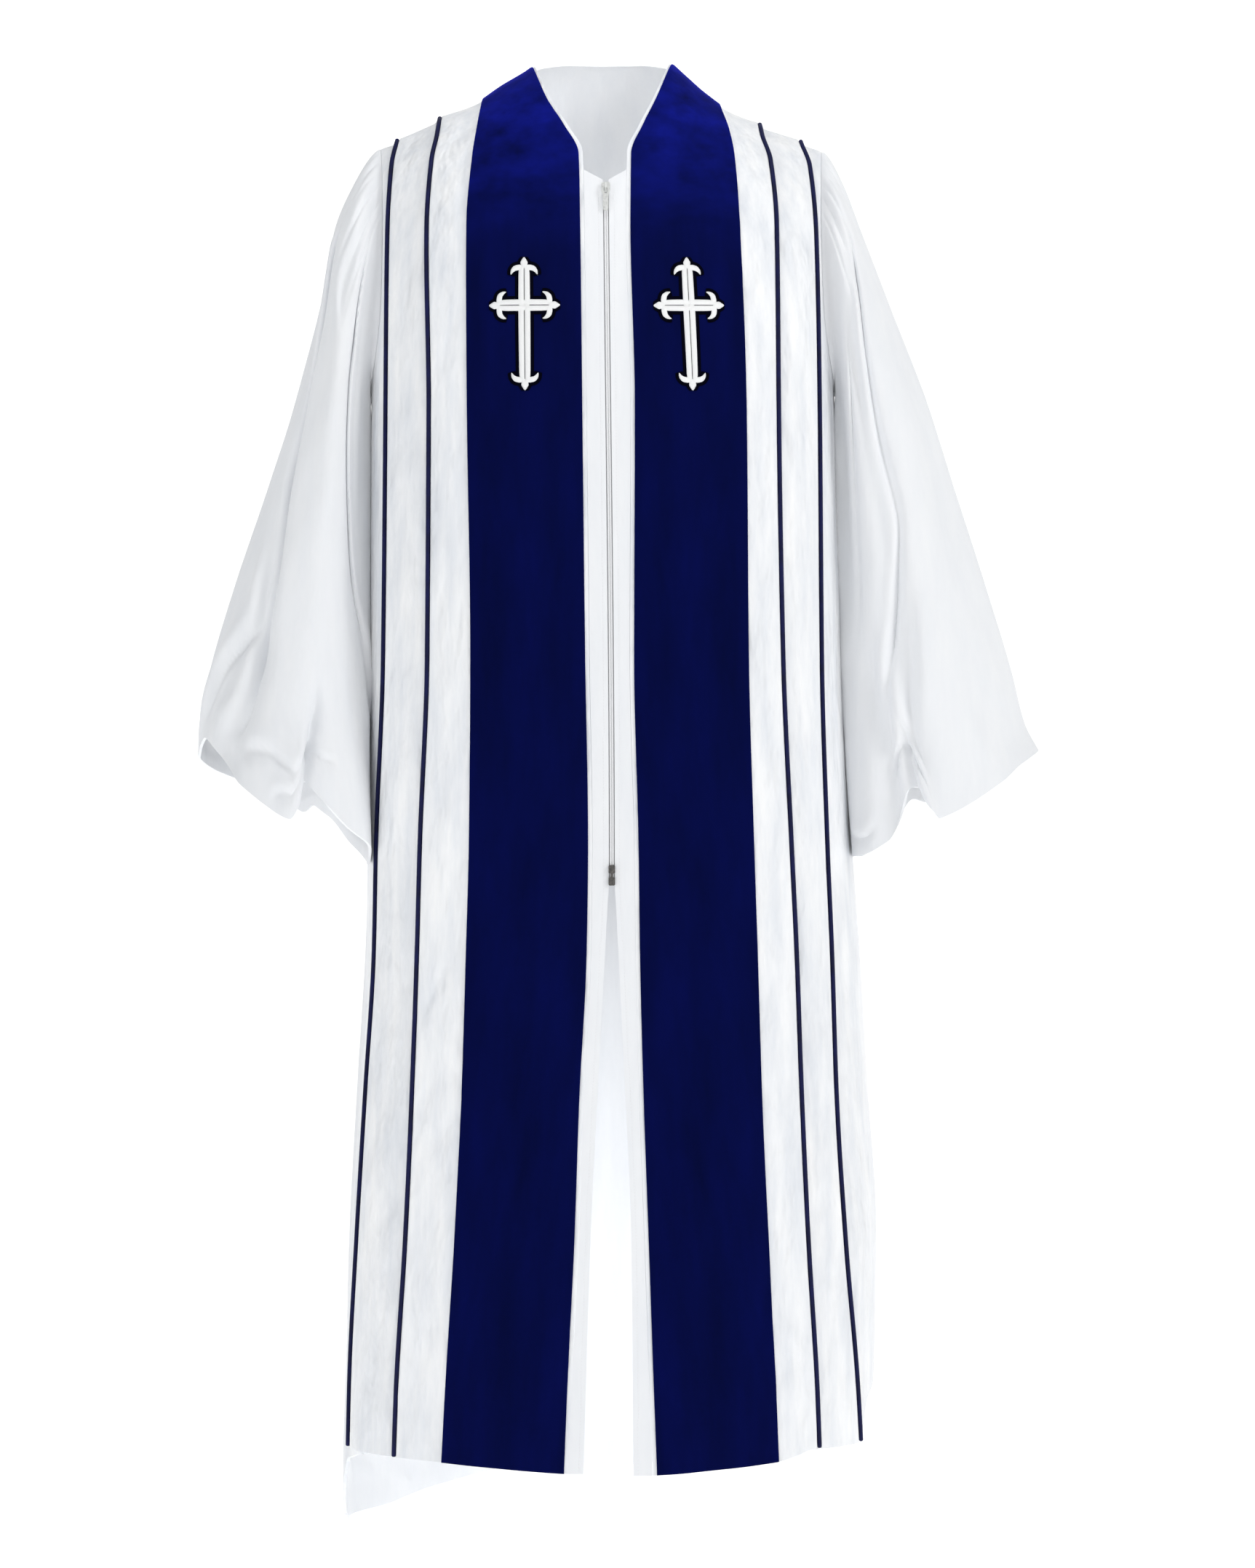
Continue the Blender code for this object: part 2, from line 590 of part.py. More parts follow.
def seam_level(side, x):
    """Height of the front's top layer along the shoulder seam, which the back follows there."""
    lines = SIDES[side][1]
    places = [0.0]
    for name in ("piping_1", "piping_2"):
        at = float(read(lines, name, 0.0))
        places += [at - 0.002, at + 0.006]
    levels = [INNER_FLUTE_LEVEL, INNER_FLUTE_LEVEL, OUTER_FLUTE_LEVEL, OUTER_FLUTE_LEVEL, SIDE_LEVEL]
    return np.interp(x, places, levels)


def back_grid():
    """Points of the back, from the wearer's right seam to the left one, with soft folds."""
    even = back_reaches()
    top_reach = np.interp(np.arange(BACK_COLUMNS + 1), (0, NECK_COLUMNS, BACK_COLUMNS), (0, NECK_REACH, 1.0))
    halves = []
    for side, order in (("right", -1), ("left", 1)):
        _, lines, shoulder = SIDES[side]
        half_top = float(read(lines, "side", 0.0))
        arm_top = float(side_edge(lines, "back", np.array(ARM_TOP)))
        start_x = np.minimum(top_reach * half_top, arm_top)
        tops = -read(shoulder, "neck_edge", start_x / half_top)
        places = 0.5 + order * np.linspace(0, 0.5, len(even))
        drops = row_drops(tops, pairs(HEMS["back"], places))
        blend = ease(DROPS / BLEND_DROP)[:, None]
        reach = top_reach * (1 - blend) + even * blend
        edge = side_edge(lines, "back", drops[:, -1])[:, None]
        x = np.minimum(reach * edge, edge)
        x[0] = start_x
        points = surface(side, "back", x, drops)
        normal = outward(side, "back", x, drops)
        folds = back_fold_height(places[None, :], drops)
        folds[:, -1] = 0
        seam = seam_level(side, x) * (1 - ease((drops - tops[None, :]) / SEAM_FADE))
        outside = start_x >= NECK_REACH * half_top - 1e-6
        normal[0, outside] = ridge_lift(side, "back", start_x[outside])
        points = points + normal * (folds + seam)[..., None]
        points[0, outside, 1] = MIDDLE_Y + GAP / 2
        points[ARMHOLE_ROWS - 1:, -1, 1] = MIDDLE_Y + GAP / 2
        halves.append((points, drops))
    right, left = halves
    middle = (right[0][:, :1] + left[0][:, :1]) / 2
    middle[..., 0] = 0.0
    return np.concatenate([right[0][:, :0:-1], middle, left[0][:, 1:]], axis=1)


def back_fold_height(place, drop):
    """Sum of the soft folds, each growing from where it begins to the hem."""
    height = np.zeros(np.broadcast(place, drop).shape)
    for centre, width, size, begin in BACK_FOLDS:
        grow = ease((drop - begin) / 0.75)
        height += size * grow * np.exp(-(((place - centre) / width) ** 2))
    return height


def armhole_loop(front, front_miter, back, back_miter):
    """Edge points of an armhole, from the shoulder down the front and up the back, and the
    vectors square to the cloth there, with a point added halfway along each step."""
    n = ARMHOLE_ROWS
    shoulder = (front[0] + back[0]) / 2
    underarm = (front[n - 1] + back[n - 1]) / 2
    loop = np.concatenate([[shoulder], front[1:n - 1], [underarm], back[n - 2:0:-1]])
    square = np.concatenate([
        [(front_miter[0] + back_miter[0]) / 2], front_miter[1:n - 1],
        [(front_miter[n - 1] + back_miter[n - 1]) / 2], back_miter[n - 2:0:-1],
    ])
    return doubled(loop), doubled(square)


def doubled(loop):
    """A closed loop with a point added halfway along each step."""
    middle = (loop + np.roll(loop, -1, axis=0)) / 2
    return np.stack([loop, middle], axis=1).reshape(-1, 3)


def sleeve_grid(side, loop, square):
    """Points of a sleeve: rings from the armhole to the cuff, each an oval between its outer and
    inner ends, with creases pressed in and a hem that hangs in lobes."""
    sign = SIDES[side][0]
    rings = RIGHT_RINGS if side == "right" else LEFT_RINGS
    creases = RIGHT_CREASES if side == "right" else LEFT_CREASES
    cuff = RIGHT_CUFF if side == "right" else LEFT_CUFF
    count = len(loop)
    even = np.linspace(SLEEVE_EVEN_FROM, 1.0, SLEEVE_RINGS - 1)
    along = np.concatenate([SLEEVE_FIRST_RINGS, even])[:, None]
    turn = 2 * math.pi * np.arange(count)[None, :] / count
    degrees = (np.degrees(turn) + 180) % 360 - 180
    outer = np.stack([sign * read(rings, "outer_x", along), -read(rings, "outer_drop", along)], -1)
    inner = np.stack([sign * read(rings, "inner_x", along), -read(rings, "inner_drop", along)], -1)
    middle, reach = (outer + inner) / 2, (outer - inner) / 2
    deep = read(rings, "half_depth", along)
    length = np.linalg.norm(reach, axis=-1)
    dent = crease_depth(creases, along, degrees)
    x = middle[..., 0] + np.cos(turn) * reach[..., 0] * (1 - dent / length)
    z = middle[..., 1] + np.cos(turn) * reach[..., 1] * (1 - dent / length)
    swing = read(rings, "yaw", along) * (1 - np.cos(turn)) / 2
    y = MIDDLE_Y - SLEEVE_FORWARD * along - swing - np.sin(turn) * (deep - dent)
    z = z - pairs(cuff, degrees) * ease((along - CUFF_START) / (1 - CUFF_START))
    oval = np.stack([x, y, z], axis=-1)

    edge = np.roll(loop, -1, axis=0) - np.roll(loop, 1, axis=0)
    leave = np.cross(edge, square)
    leave /= np.linalg.norm(leave, axis=-1, keepdims=True)
    centre = loop.mean(axis=0)
    inwards = np.sum(leave * (centre + np.array([sign * 0.05, 0, 0]) - loop), axis=-1, keepdims=True)
    leave *= np.where(inwards < 0, -1.0, 1.0)
    # Edge to edge with the body's wall at the shoulder, turning to stand off it at the underarm
    begin, end = SLEEVE_TURN
    turned = math.pi / 2 * ease((np.abs(degrees[0]) - begin) / (end - begin))[:, None]
    start = loop + leave * SLEEVE_SEAM + square * (CLOTH / 2 + SLEEVE_SEAM) * np.sin(turned)
    first_vectors = np.cos(turned) * square - np.sin(turned) * leave
    share = ease(along / SLEEVE_JOIN)[..., None]
    grown = start[None] + np.array([sign * SLEEVE_LEAVE, 0, 0]) * along[..., None]
    points = (1 - share) * grown + share * oval
    points[0] = start
    return points, first_vectors


def crease_depth(creases, along, degrees):
    """How far the creases press the surface in: each follows its own line down the sleeve."""
    depth = np.zeros(np.broadcast(along, degrees).shape)
    for row in creases:
        fold = dict(zip(CREASE_COLUMNS, row))
        share = (along - fold["from"]) / (fold["to"] - fold["from"])
        line = fold["turn_from"] + (fold["turn_to"] - fold["turn_from"]) * np.clip(share, 0, 1)
        away = (degrees - line + 180) % 360 - 180
        rise = ease(share / 0.25 + (1.0 if fold["from"] == 0 else 0.0))
        fade = 1 - ease((share - 0.75) / 0.25)
        depth += fold["depth"] * rise * fade * np.exp(-((away / fold["width"]) ** 2))
    return depth


def finish(name, mesh_builder, finish_name, parts):
    """Make an object from a bmesh, with faces out and its own material."""
    bmesh.ops.recalc_face_normals(mesh_builder, faces=mesh_builder.faces)
    mesh = bpy.data.meshes.new(name)
    mesh_builder.to_mesh(mesh)
    mesh_builder.free()
    mesh.shade_smooth()
    mesh.set_sharp_from_angle(angle=math.radians(40))
    return place(name, mesh, finish_name, parts)


def place(name, data, finish_name, parts):
    """Link an object of this name and give it its own material."""
    thing = bpy.data.objects.new(name, data)
    colour, roughness, metallic = COLOURS[finish_name]
    material = bpy.data.materials.new(name + "_" + finish_name)
    material.use_nodes = True
    shader = material.node_tree.nodes["Principled BSDF"]
    shader.inputs["Base Color"].default_value = (*colour, 1.0)
    shader.inputs["Roughness"].default_value = roughness
    shader.inputs["Metallic"].default_value = metallic
    data.materials.clear()
    data.materials.append(material)
    parts.objects.link(thing)
    return thing


def wall(name, middle, vectors, thickness, finish_name, parts, closed=False):
    """A cloth wall of even thickness about a grid of middle points; closed joins the last column
    to the first."""
    rows, columns = middle.shape[:2]
    builder = bmesh.new()
    faces = []
    for way in (0.5, -0.5):
        shell = middle + way * thickness * vectors
        faces.append([[builder.verts.new(point) for point in row] for row in shell])
    outer, inner = faces
    last = columns if closed else columns - 1
    for i in range(rows - 1):
        for j in range(last):
            k = (j + 1) % columns
            builder.faces.new((outer[i][j], outer[i + 1][j], outer[i + 1][k], outer[i][k]))
            builder.faces.new((inner[i][j], inner[i][k], inner[i + 1][k], inner[i + 1][j]))
    for i in (0, rows - 1):
        for j in range(last):
            k = (j + 1) % columns
            builder.faces.new((outer[i][j], outer[i][k], inner[i][k], inner[i][j]))
    if not closed:
        for j in (0, columns - 1):
            for i in range(rows - 1):
                builder.faces.new((outer[i][j], inner[i][j], inner[i + 1][j], outer[i + 1][j]))
    bmesh.ops.triangulate(builder, faces=builder.faces)
    return finish(name, builder, finish_name, parts)


def piping(name, path, parts):
    """A round cord along a flute's folded edge."""
    curve = bpy.data.curves.new(name, "CURVE")
    curve.dimensions = "3D"
    curve.bevel_depth = PIPING_RADIUS
    curve.bevel_resolution = 1
    curve.use_fill_caps = True
    spline = curve.splines.new("POLY")
    spline.points.add(len(path) - 1)
    for point, place_at in zip(spline.points, path):
        point.co = (*place_at, 1.0)
    return place(name, curve, "piping", parts)


def piping_path(side, name, drops):
    """Middle line of a piping, beside the folded edge and on the layer below it."""
    lines = SIDES[side][1]
    bed = FRONT_COLUMNS[front_column(name + "_bed")]
    height = bed[-1] * LAYER + CLOTH / 2 + GAP + PIPING_RADIUS
    x = raised(side, "front", read(lines, name, drops), drops, height)
    x[0] = top_place(side, bed[:-1] + (height / LAYER,))
    lift = outward(side, "front", x, drops)
    lift[0] = ridge_lift(side, "front", x[:1])[0]
    path = surface(side, "front", x, drops) + height * lift
    path[0, 1] = MIDDLE_Y - PIPING_END
    return path


def flat_outline(name, splines, thickness):
    """A flat plate from closed outlines in its own X and Y, as a mesh."""
    curve = bpy.data.curves.new(name, "CURVE")
    curve.dimensions = "2D"
    curve.fill_mode = "BOTH"
    curve.extrude = thickness / 2
    for outline in splines:
        spline = curve.splines.new("POLY")
        spline.points.add(len(outline) - 1)
        for point, (x, y) in zip(spline.points, outline):
            point.co = (x, y, 0.0, 1.0)
        spline.use_cyclic_u = True
    holder = bpy.data.objects.new(name, curve)
    bpy.context.scene.collection.objects.link(holder)
    shape = holder.evaluated_get(bpy.context.evaluated_depsgraph_get())
    mesh = bpy.data.meshes.new_from_object(shape)
    builder = bmesh.new()
    builder.from_mesh(mesh)
    bmesh.ops.remove_doubles(builder, verts=builder.verts, dist=0.00001)
    builder.normal_update()
    caps = {face for face in builder.faces if abs(face.normal.z) > 0.9}
    inner = [edge for edge in builder.edges if caps.issuperset(edge.link_faces)]
    bmesh.ops.beautify_fill(builder, faces=list(caps), edges=inner)
    bpy.data.objects.remove(holder)
    bpy.data.curves.remove(curve)
    bpy.data.meshes.remove(mesh)
    return builder


def arm_end(length):
    """Half outline of an arm that ends in a point with two curled hooks, out from the middle."""
    bar = CROSS_BAR_HALF
    return [
        (bar, bar),
        (bar * 0.86, length - 0.0262),
        (bar * 0.84, length - 0.0190),
        (bar * 1.45, length - 0.0203),
        (bar * 1.95, length - 0.0231),
        (bar * 2.20, length - 0.0246),
        (bar * 2.12, length - 0.0182),
        (bar * 1.65, length - 0.0135),
        (bar * 0.95, length - 0.0105),
        (bar * 0.80, length - 0.0060),
        (bar * 0.35, length - 0.0022),
        (0.0, length),
    ]


def cross_outline():
    """Closed outline of the cross in its own X and Y, arm by arm."""
    outline = []
    for arm, turn in (("up", 0), ("side", 1), ("down", 2), ("side", 3)):
        half = arm_end(CROSS_ARM[arm])
        both = [(-x, y) for x, y in half] + [(x, y) for x, y in half[-2:0:-1]]
        cosine, sine = math.cos(-turn * math.pi / 2), math.sin(-turn * math.pi / 2)
        outline += [(x * cosine - y * sine, x * sine + y * cosine) for x, y in both]
    return outline


def on_grid(grid, vectors, row, column, height):
    """Point over a grid at fractional row and column, moved out by height."""
    i = min(max(int(math.floor(row)), 0), grid.shape[0] - 2)
    j = min(max(int(math.floor(column)), 0), grid.shape[1] - 2)
    s, t = row - i, column - j
    corners = ((1 - s) * (1 - t), (1 - s) * t, s * (1 - t), s * t)
    places = ((i, j), (i, j + 1), (i + 1, j), (i + 1, j + 1))
    point = sum(w * grid[p] for w, p in zip(corners, places))
    vector = sum(w * vectors[p] for w, p in zip(corners, places))
    return point + height * vector


def cross(side, grid, vectors, parts):
    """The applied cross: a flat plate cut along the band's own rows and columns, then laid on."""
    sign = SIDES[side][0]
    rows = -grid[:, :, 2]
    drop, across = CROSS_DROPS[side], CROSS_ACROSS[side]
    columns = grid.shape[1] - 1
    centre_row = float(np.interp(drop, rows[:, columns // 2], np.arange(len(rows))))
    low, high = int(centre_row) - 2, int(centre_row) + 5
    band = np.linalg.norm(np.diff(grid, axis=1), axis=-1)
    widths = band[int(centre_row)]
    start = np.concatenate([[0], np.cumsum(widths)])
    centre_x = across * start[-1]
    row_place = rows[low:high + 1, columns // 2] - drop

    builder = flat_outline("cross_" + side, [cross_outline()], CROSS_THICKNESS)
    lean = Matrix.Rotation(CROSS_LEAN[side], 4, "Z")
    bmesh.ops.transform(builder, matrix=lean, verts=builder.verts)
    for at in row_place:
        cut(builder, Vector((0, -at, 0)), Vector((0, 1, 0)))
    for at in start[1:-1] - centre_x:
        cut(builder, Vector((sign * at, 0, 0)), Vector((1, 0, 0)))
    bmesh.ops.triangulate(builder, faces=builder.faces)
    stand = VELVET / 2 + CROSS_CLEAR + CROSS_THICKNESS / 2
    for vertex in builder.verts:
        column = np.interp(centre_x + sign * vertex.co.x, start, np.arange(len(start)))
        row = np.interp(-vertex.co.y, row_place, np.arange(low, high + 1))
        vertex.co = Vector(on_grid(grid, vectors, row, column, stand + vertex.co.z))
    return finish("cross_" + side, builder, "embroidery", parts)


def cut(builder, point, normal):
    """Cut all faces of a bmesh along a plane, keeping both sides."""
    geometry = builder.verts[:] + builder.edges[:] + builder.faces[:]
    bmesh.ops.bisect_plane(builder, geom=geometry, dist=0.00001, plane_co=point, plane_no=normal)


def zip_middle(drop):
    """Distance of the zip's middle line from the body's middle plane, to the wearer's left."""
    return pairs(ZIP_LINE, drop)


def front_middle(x, drop, level):
    """Points of the front between the two bands, x to the wearer's left, raised to a level."""
    right = surface("right", "front", np.abs(x), drop)
    left = surface("left", "front", np.abs(x), drop)
    lift_right = outward("right", "front", np.abs(x) + 0.001, drop)
    lift_left = outward("left", "front", np.abs(x) + 0.001, drop)
    share = ease((x + 0.03) / 0.06)[..., None]
    depth = (1 - share) * right + share * left
    lift = (1 - share) * lift_right * np.array([0, 1, 1]) + share * lift_left * np.array([0, 1, 1])
    lift /= np.linalg.norm(lift, axis=-1, keepdims=True)
    points = depth + level * lift
    points[..., 0] = x
    return points


def placket(side, front, parts):
    """Narrow strip between a front's centre edge and the zip, and below it to the slit's edge."""
    sign, lines, _ = SIDES[side]
    drops = PLACKET_DROPS
    hem = HEMS["front_" + side][0][1]
    stretch = ease((drops - HEM_START) / (DROPS[-1] - HEM_START))
    drops = drops + (hem - DROPS[-1]) * stretch
    outer = sign * (read(lines, "edge", drops) - EDGE_PAST_VELVET - GAP)
    zip_edge = zip_middle(drops) + sign * (CHAIN_HALF_WIDTH + 2 * GAP)
    slit_edge = read(SLIT, side + "_edge", drops)
    slit_start = SLIT["rows"][0][0]
    inner = np.where(drops < slit_start, zip_edge, slit_edge)
    shares = np.array([0.0, 0.5, 1.0])
    x = outer[:, None] + (inner - outer)[:, None] * shares
    grid_drops = np.repeat(drops[:, None], 3, axis=1)
    grid_drops[0] = PLACKET_TOP["outer"] + (PLACKET_TOP["inner"] - PLACKET_TOP["outer"]) * shares
    grid = front_middle(x, grid_drops, INNER_FLUTE_LEVEL)
    wall("placket_" + side, grid, miters(grid) * -sign, CLOTH, "cloth", parts)


def strip(name, side_from, side_to, drops, level, thickness, finish_name, parts):
    """A narrow strip along the zip's middle line, between two distances to the wearer's left."""
    middle = zip_middle(drops)
    x = np.stack([middle + side_from, middle + side_to], axis=1)
    grid = front_middle(x, np.repeat(drops[:, None], 2, axis=1), level)
    wall(name, grid, miters(grid), thickness, finish_name, parts)


def zip_drops(start, end):
    """Rows of a strip along the zip, on the fronts' own rows between its two ends."""
    inside = DROPS[(DROPS > start + 0.004) & (DROPS < end - 0.004)]
    return np.concatenate([[start], inside, [end]])


def zip_frame(drop, level):
    """Matrix whose X runs across the zip, Y up along it and Z out of the cloth."""
    small = 0.004
    at = np.array([drop - small, drop, drop + small])
    points = front_middle(zip_middle(at), at, level)
    up = Vector(points[0] - points[2])
    up.x = 0.0
    up.normalize()
    across = Vector((1.0, 0.0, 0.0))
    out = across.cross(up)
    frame = Matrix((across, up, out)).transposed().to_4x4()
    frame.translation = Vector(points[1])
    return frame


def arc_points(centre, radius_x, radius_y, start, end, steps):
    """Points along part of an ellipse, from one angle to another in degrees."""
    turns = np.radians(np.linspace(start, end, steps))
    return [(centre[0] + radius_x * math.cos(a), centre[1] + radius_y * math.sin(a)) for a in turns]


def plate(name, outlines, thickness, frame, finish_name, parts):
    """A flat plate set by a frame."""
    builder = flat_outline(name, outlines, thickness)
    bmesh.ops.transform(builder, matrix=frame, verts=builder.verts)
    return finish(name, builder, finish_name, parts)


def slider(parts):
    """Zip slider: a tapered plate with a bridge over which the tab's eye hangs."""
    frame = zip_frame(SLIDER_DROP, SLIDER_LEVEL)
    half, top, end = SLIDER_LENGTH / 2, SLIDER_TOP_WIDTH / 2, SLIDER_END_WIDTH / 2
    above, below = SLIDER_ROUNDING["top"], SLIDER_ROUNDING["end"]
    round_top = arc_points((0, half - above), top, above, 0, 180, 9)
    round_end = arc_points((0, -half + below), end, below, 180, 360, 7)
    body = plate("zip_slider", [round_top + round_end], SLIDER_THICKNESS, frame, "pale_metal", parts)
    face = SLIDER_THICKNESS / 2
    crown = face + BRIDGE_CLEAR + BRIDGE_RADIUS
    foot, corner = face - BRIDGE_FOOT, crown - BRIDGE_CORNER
    path = [(-1, foot), (-1, corner), (-0.78, crown), (0.78, crown), (1, corner), (1, foot)]
    curve = bpy.data.curves.new("zip_bridge", "CURVE")
    curve.dimensions = "3D"
    curve.bevel_depth = BRIDGE_RADIUS
    curve.bevel_resolution = 2
    curve.use_fill_caps = True
    spline = curve.splines.new("POLY")
    spline.points.add(len(path) - 1)
    for point, (y, z) in zip(spline.points, path):
        point.co = (0.0, y * BRIDGE_HALF_SPAN, z, 1.0)
    bridge = as_mesh("zip_bridge", curve, frame)
    join = body.modifiers.new("bridge", "BOOLEAN")
    join.operation = "UNION"
    join.solver = "EXACT"
    join.object = bridge
    return frame


def as_mesh(name, curve, frame):
    """A curve made a closed mesh, kept as a guide that isn't part of the object."""
    holder = bpy.data.objects.new(name, curve)
    bpy.context.scene.collection.objects.link(holder)
    shape = holder.evaluated_get(bpy.context.evaluated_depsgraph_get())
    mesh = bpy.data.meshes.new_from_object(shape)
    builder = bmesh.new()
    builder.from_mesh(mesh)
    bmesh.ops.remove_doubles(builder, verts=builder.verts, dist=0.00001)
    bmesh.ops.transform(builder, matrix=frame, verts=builder.verts)
    bmesh.ops.recalc_face_normals(builder, faces=builder.faces)
    builder.to_mesh(mesh)
    builder.free()
    bpy.data.objects.remove(holder)
    bpy.data.curves.remove(curve)
    guide = bpy.data.objects.new(name, mesh)
    guide.hide_render = True
    guide.display_type = "WIRE"
    cutters = bpy.data.collections.get("cutters") or bpy.data.collections.new("cutters")
    if cutters.name not in bpy.context.scene.collection.children:
        bpy.context.scene.collection.children.link(cutters)
    cutters.objects.link(guide)
    return guide


def pull_tab(slider_frame, parts):
    """Pull tab with its eye around the bridge; its origin is on the hinge's axis."""
    lift = Matrix.Translation((0, 0, SLIDER_THICKNESS / 2 + TAB_AXIS_HEIGHT))
    frame = slider_frame @ lift @ Matrix.Rotation(TAB_LEAN, 4, "X")
    eye, tail = TAB_EYE_HALF_WIDTH, TAB_TAIL_HALF_WIDTH
    hole_middle = -(TAB_BAR_HALF + TAB_HOLE_END) / 2
    hole_half = (TAB_HOLE_END - TAB_BAR_HALF) / 2
    rounding, tail_start = TAB_TAIL_ROUNDING, -TAB_LENGTH + TAB_TAIL_ROUNDING
    outer = arc_points((0, hole_middle), eye, hole_half + TAB_EYE_WALL, *TAB_EYE_ARC, 21)
    outer += [(-tail, -TAB_NECK), (-tail, tail_start)]
    outer += arc_points((0, tail_start), tail, rounding, 195, 345, 6)
    outer += [(tail, tail_start), (tail, -TAB_NECK)]
    top = TAB_BAR_HALF
    outer = [(x, min(y, top)) for x, y in outer]
    hole = arc_points((0, hole_middle), TAB_HOLE_HALF_WIDTH, hole_half, 0, 345, 18)
    builder = flat_outline("zip_pull_tab", [outer, hole], TAB_THICKNESS)
    tab = finish("zip_pull_tab", builder, "pale_metal", parts)
    tab.matrix_world = frame


def end_box(parts):
    """Two-part box that closes the zip's lower end: two blocks joined by a narrow waist."""
    frame = zip_frame(BOX_DROP, BOX_LEVEL)
    wide, waist, half = BOX_WIDTH / 2, BOX_WAIST_WIDTH / 2, BOX_LENGTH / 2
    inner = half - BOX_PART_LENGTH
    quarter = [(waist, inner), (wide, inner + BOX_SHOULDER), (wide, half - BOX_CORNER)]
    quarter += [(wide - BOX_CORNER, half)]
    outline = quarter + [(-x, y) for x, y in quarter[::-1]]
    outline += [(-x, -y) for x, y in quarter] + [(x, -y) for x, y in quarter[::-1]]
    return plate("zip_end_box", [outline], BOX_THICKNESS, frame, "dark_metal", parts)


def zip_parts(parts):
    """Chain, the two tapes behind it, slider, pull tab and end box."""
    half = CHAIN_HALF_WIDTH
    chain = zip_drops(CHAIN_TOP, CHAIN_END)
    strip("zip_chain", -half, half, chain, CHAIN_LEVEL, CHAIN_THICKNESS, "zip", parts)
    tape = zip_drops(TAPE_TOP, TAPE_END)
    for side, (sign, _, _) in SIDES.items():
        near, far = sign * GAP / 2, sign * TAPE_WIDTH
        low, high = min(near, far), max(near, far)
        strip("zip_tape_" + side, low, high, tape, TAPE_LEVEL, TAPE, "zip", parts)
    frame = slider(parts)
    pull_tab(frame, parts)
    end_box(parts)


def main():
    for thing in list(bpy.data.objects):
        bpy.data.objects.remove(thing)
    parts = bpy.data.collections.new("clergy_robe")
    bpy.context.scene.collection.children.link(parts)
    build(parts)


def build(parts):
    fronts = {}
    band_end = front_column("band_edge") + 1
    for side, (sign, _, _) in SIDES.items():
        grid, drops = front_grid(side)
        vectors = miters(grid, keep_flat_rows=(0,)) * sign
        vectors[ARMHOLE_ROWS - 1:, -1] = flat(vectors[ARMHOLE_ROWS - 1:, -1])
        wall("front_" + side, grid, vectors, CLOTH, "cloth", parts)
        fronts[side] = (grid, vectors, drops)
        band = grid[:, :band_end].copy()
        band[:, 0] += (band[:, 1] - band[:, 0]) * (EDGE_PAST_VELVET / band_step(band))[:, None]
        lift = CLOTH / 2 + GAP + VELVET / 2
        band_middle = band + vectors[:, :band_end] * lift
        wall("velvet_band_" + side, band_middle, vectors[:, :band_end], VELVET, "velvet", parts)
        cross(side, band_middle, vectors[:, :band_end], parts)
        for number in ("1", "2"):
            fold = front_column("flute_" + number + "_fold")
            path = piping_path(side, "piping_" + number, drops[:, fold])
            piping("piping_" + side + "_" + number, path, parts)
        placket(side, grid, parts)

    back = back_grid()
    back_vectors = -miters(back)
    neck = np.abs(back[0, :, 1] - MIDDLE_Y) < 0.001
    back_vectors[0, neck] = flat(back_vectors[0, neck])
    for column in (0, -1):
        back_vectors[ARMHOLE_ROWS - 1:, column] = flat(back_vectors[ARMHOLE_ROWS - 1:, column])
    wall("back", back, back_vectors, CLOTH, "cloth", parts)

    zip_parts(parts)
    for side, column in (("right", 0), ("left", -1)):
        grid, vectors, _ = fronts[side]
        loop, square = armhole_loop(
            grid[:, -1], vectors[:, -1], back[:, column], back_vectors[:, column]
        )
        sleeve, first_vectors = sleeve_grid(side, loop, square)
        ringed = np.concatenate([sleeve[:, -1:], sleeve, sleeve[:, :1]], axis=1)
        sleeve_vectors = miters(ringed)[:, 1:-1] * -SIDES[side][0]
        sleeve_vectors[0] = first_vectors
        wall("sleeve_" + side, sleeve, sleeve_vectors, CLOTH, "cloth", parts, closed=True)


def band_step(band):
    """Width of the band's first column at each row."""
    return np.linalg.norm(band[:, 1] - band[:, 0], axis=-1)


main()
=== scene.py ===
import math

import bmesh
import bpy
import numpy as np
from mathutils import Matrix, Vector


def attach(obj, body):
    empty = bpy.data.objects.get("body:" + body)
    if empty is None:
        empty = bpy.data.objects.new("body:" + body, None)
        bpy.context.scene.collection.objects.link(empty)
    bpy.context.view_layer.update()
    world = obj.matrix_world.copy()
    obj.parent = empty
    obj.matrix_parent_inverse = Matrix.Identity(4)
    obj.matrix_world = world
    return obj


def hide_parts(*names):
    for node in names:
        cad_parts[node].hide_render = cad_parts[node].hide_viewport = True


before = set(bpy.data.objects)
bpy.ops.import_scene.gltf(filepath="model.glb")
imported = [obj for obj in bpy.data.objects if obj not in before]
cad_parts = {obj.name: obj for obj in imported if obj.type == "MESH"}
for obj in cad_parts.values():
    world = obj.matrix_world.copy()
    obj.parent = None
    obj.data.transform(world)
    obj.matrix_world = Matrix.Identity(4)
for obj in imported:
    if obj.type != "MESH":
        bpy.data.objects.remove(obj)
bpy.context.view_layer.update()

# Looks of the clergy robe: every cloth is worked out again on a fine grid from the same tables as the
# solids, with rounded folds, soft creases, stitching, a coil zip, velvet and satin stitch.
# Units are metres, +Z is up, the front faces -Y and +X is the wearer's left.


def table(columns, *rows):
    """Rows of numbers under named columns."""
    return {"columns": columns.split(), "rows": rows}


# Driving sizes
CLOTH = 0.0014
VELVET = 0.0016
TAPE = 0.0010
GAP = 0.0003
MIDDLE_Y = 0.008
SECTION_POWER = 2.8
UNDERARM = 0.330
PIPING_RADIUS = 0.0021
PIPING_END = 0.0022
PIPING_SATIN = 0.00022
LAYER = 0.0022
PLEAT_RETURN = 0.016
EDGE_PAST_VELVET = 0.0015
VELVET_SET_BACK = 0.0040

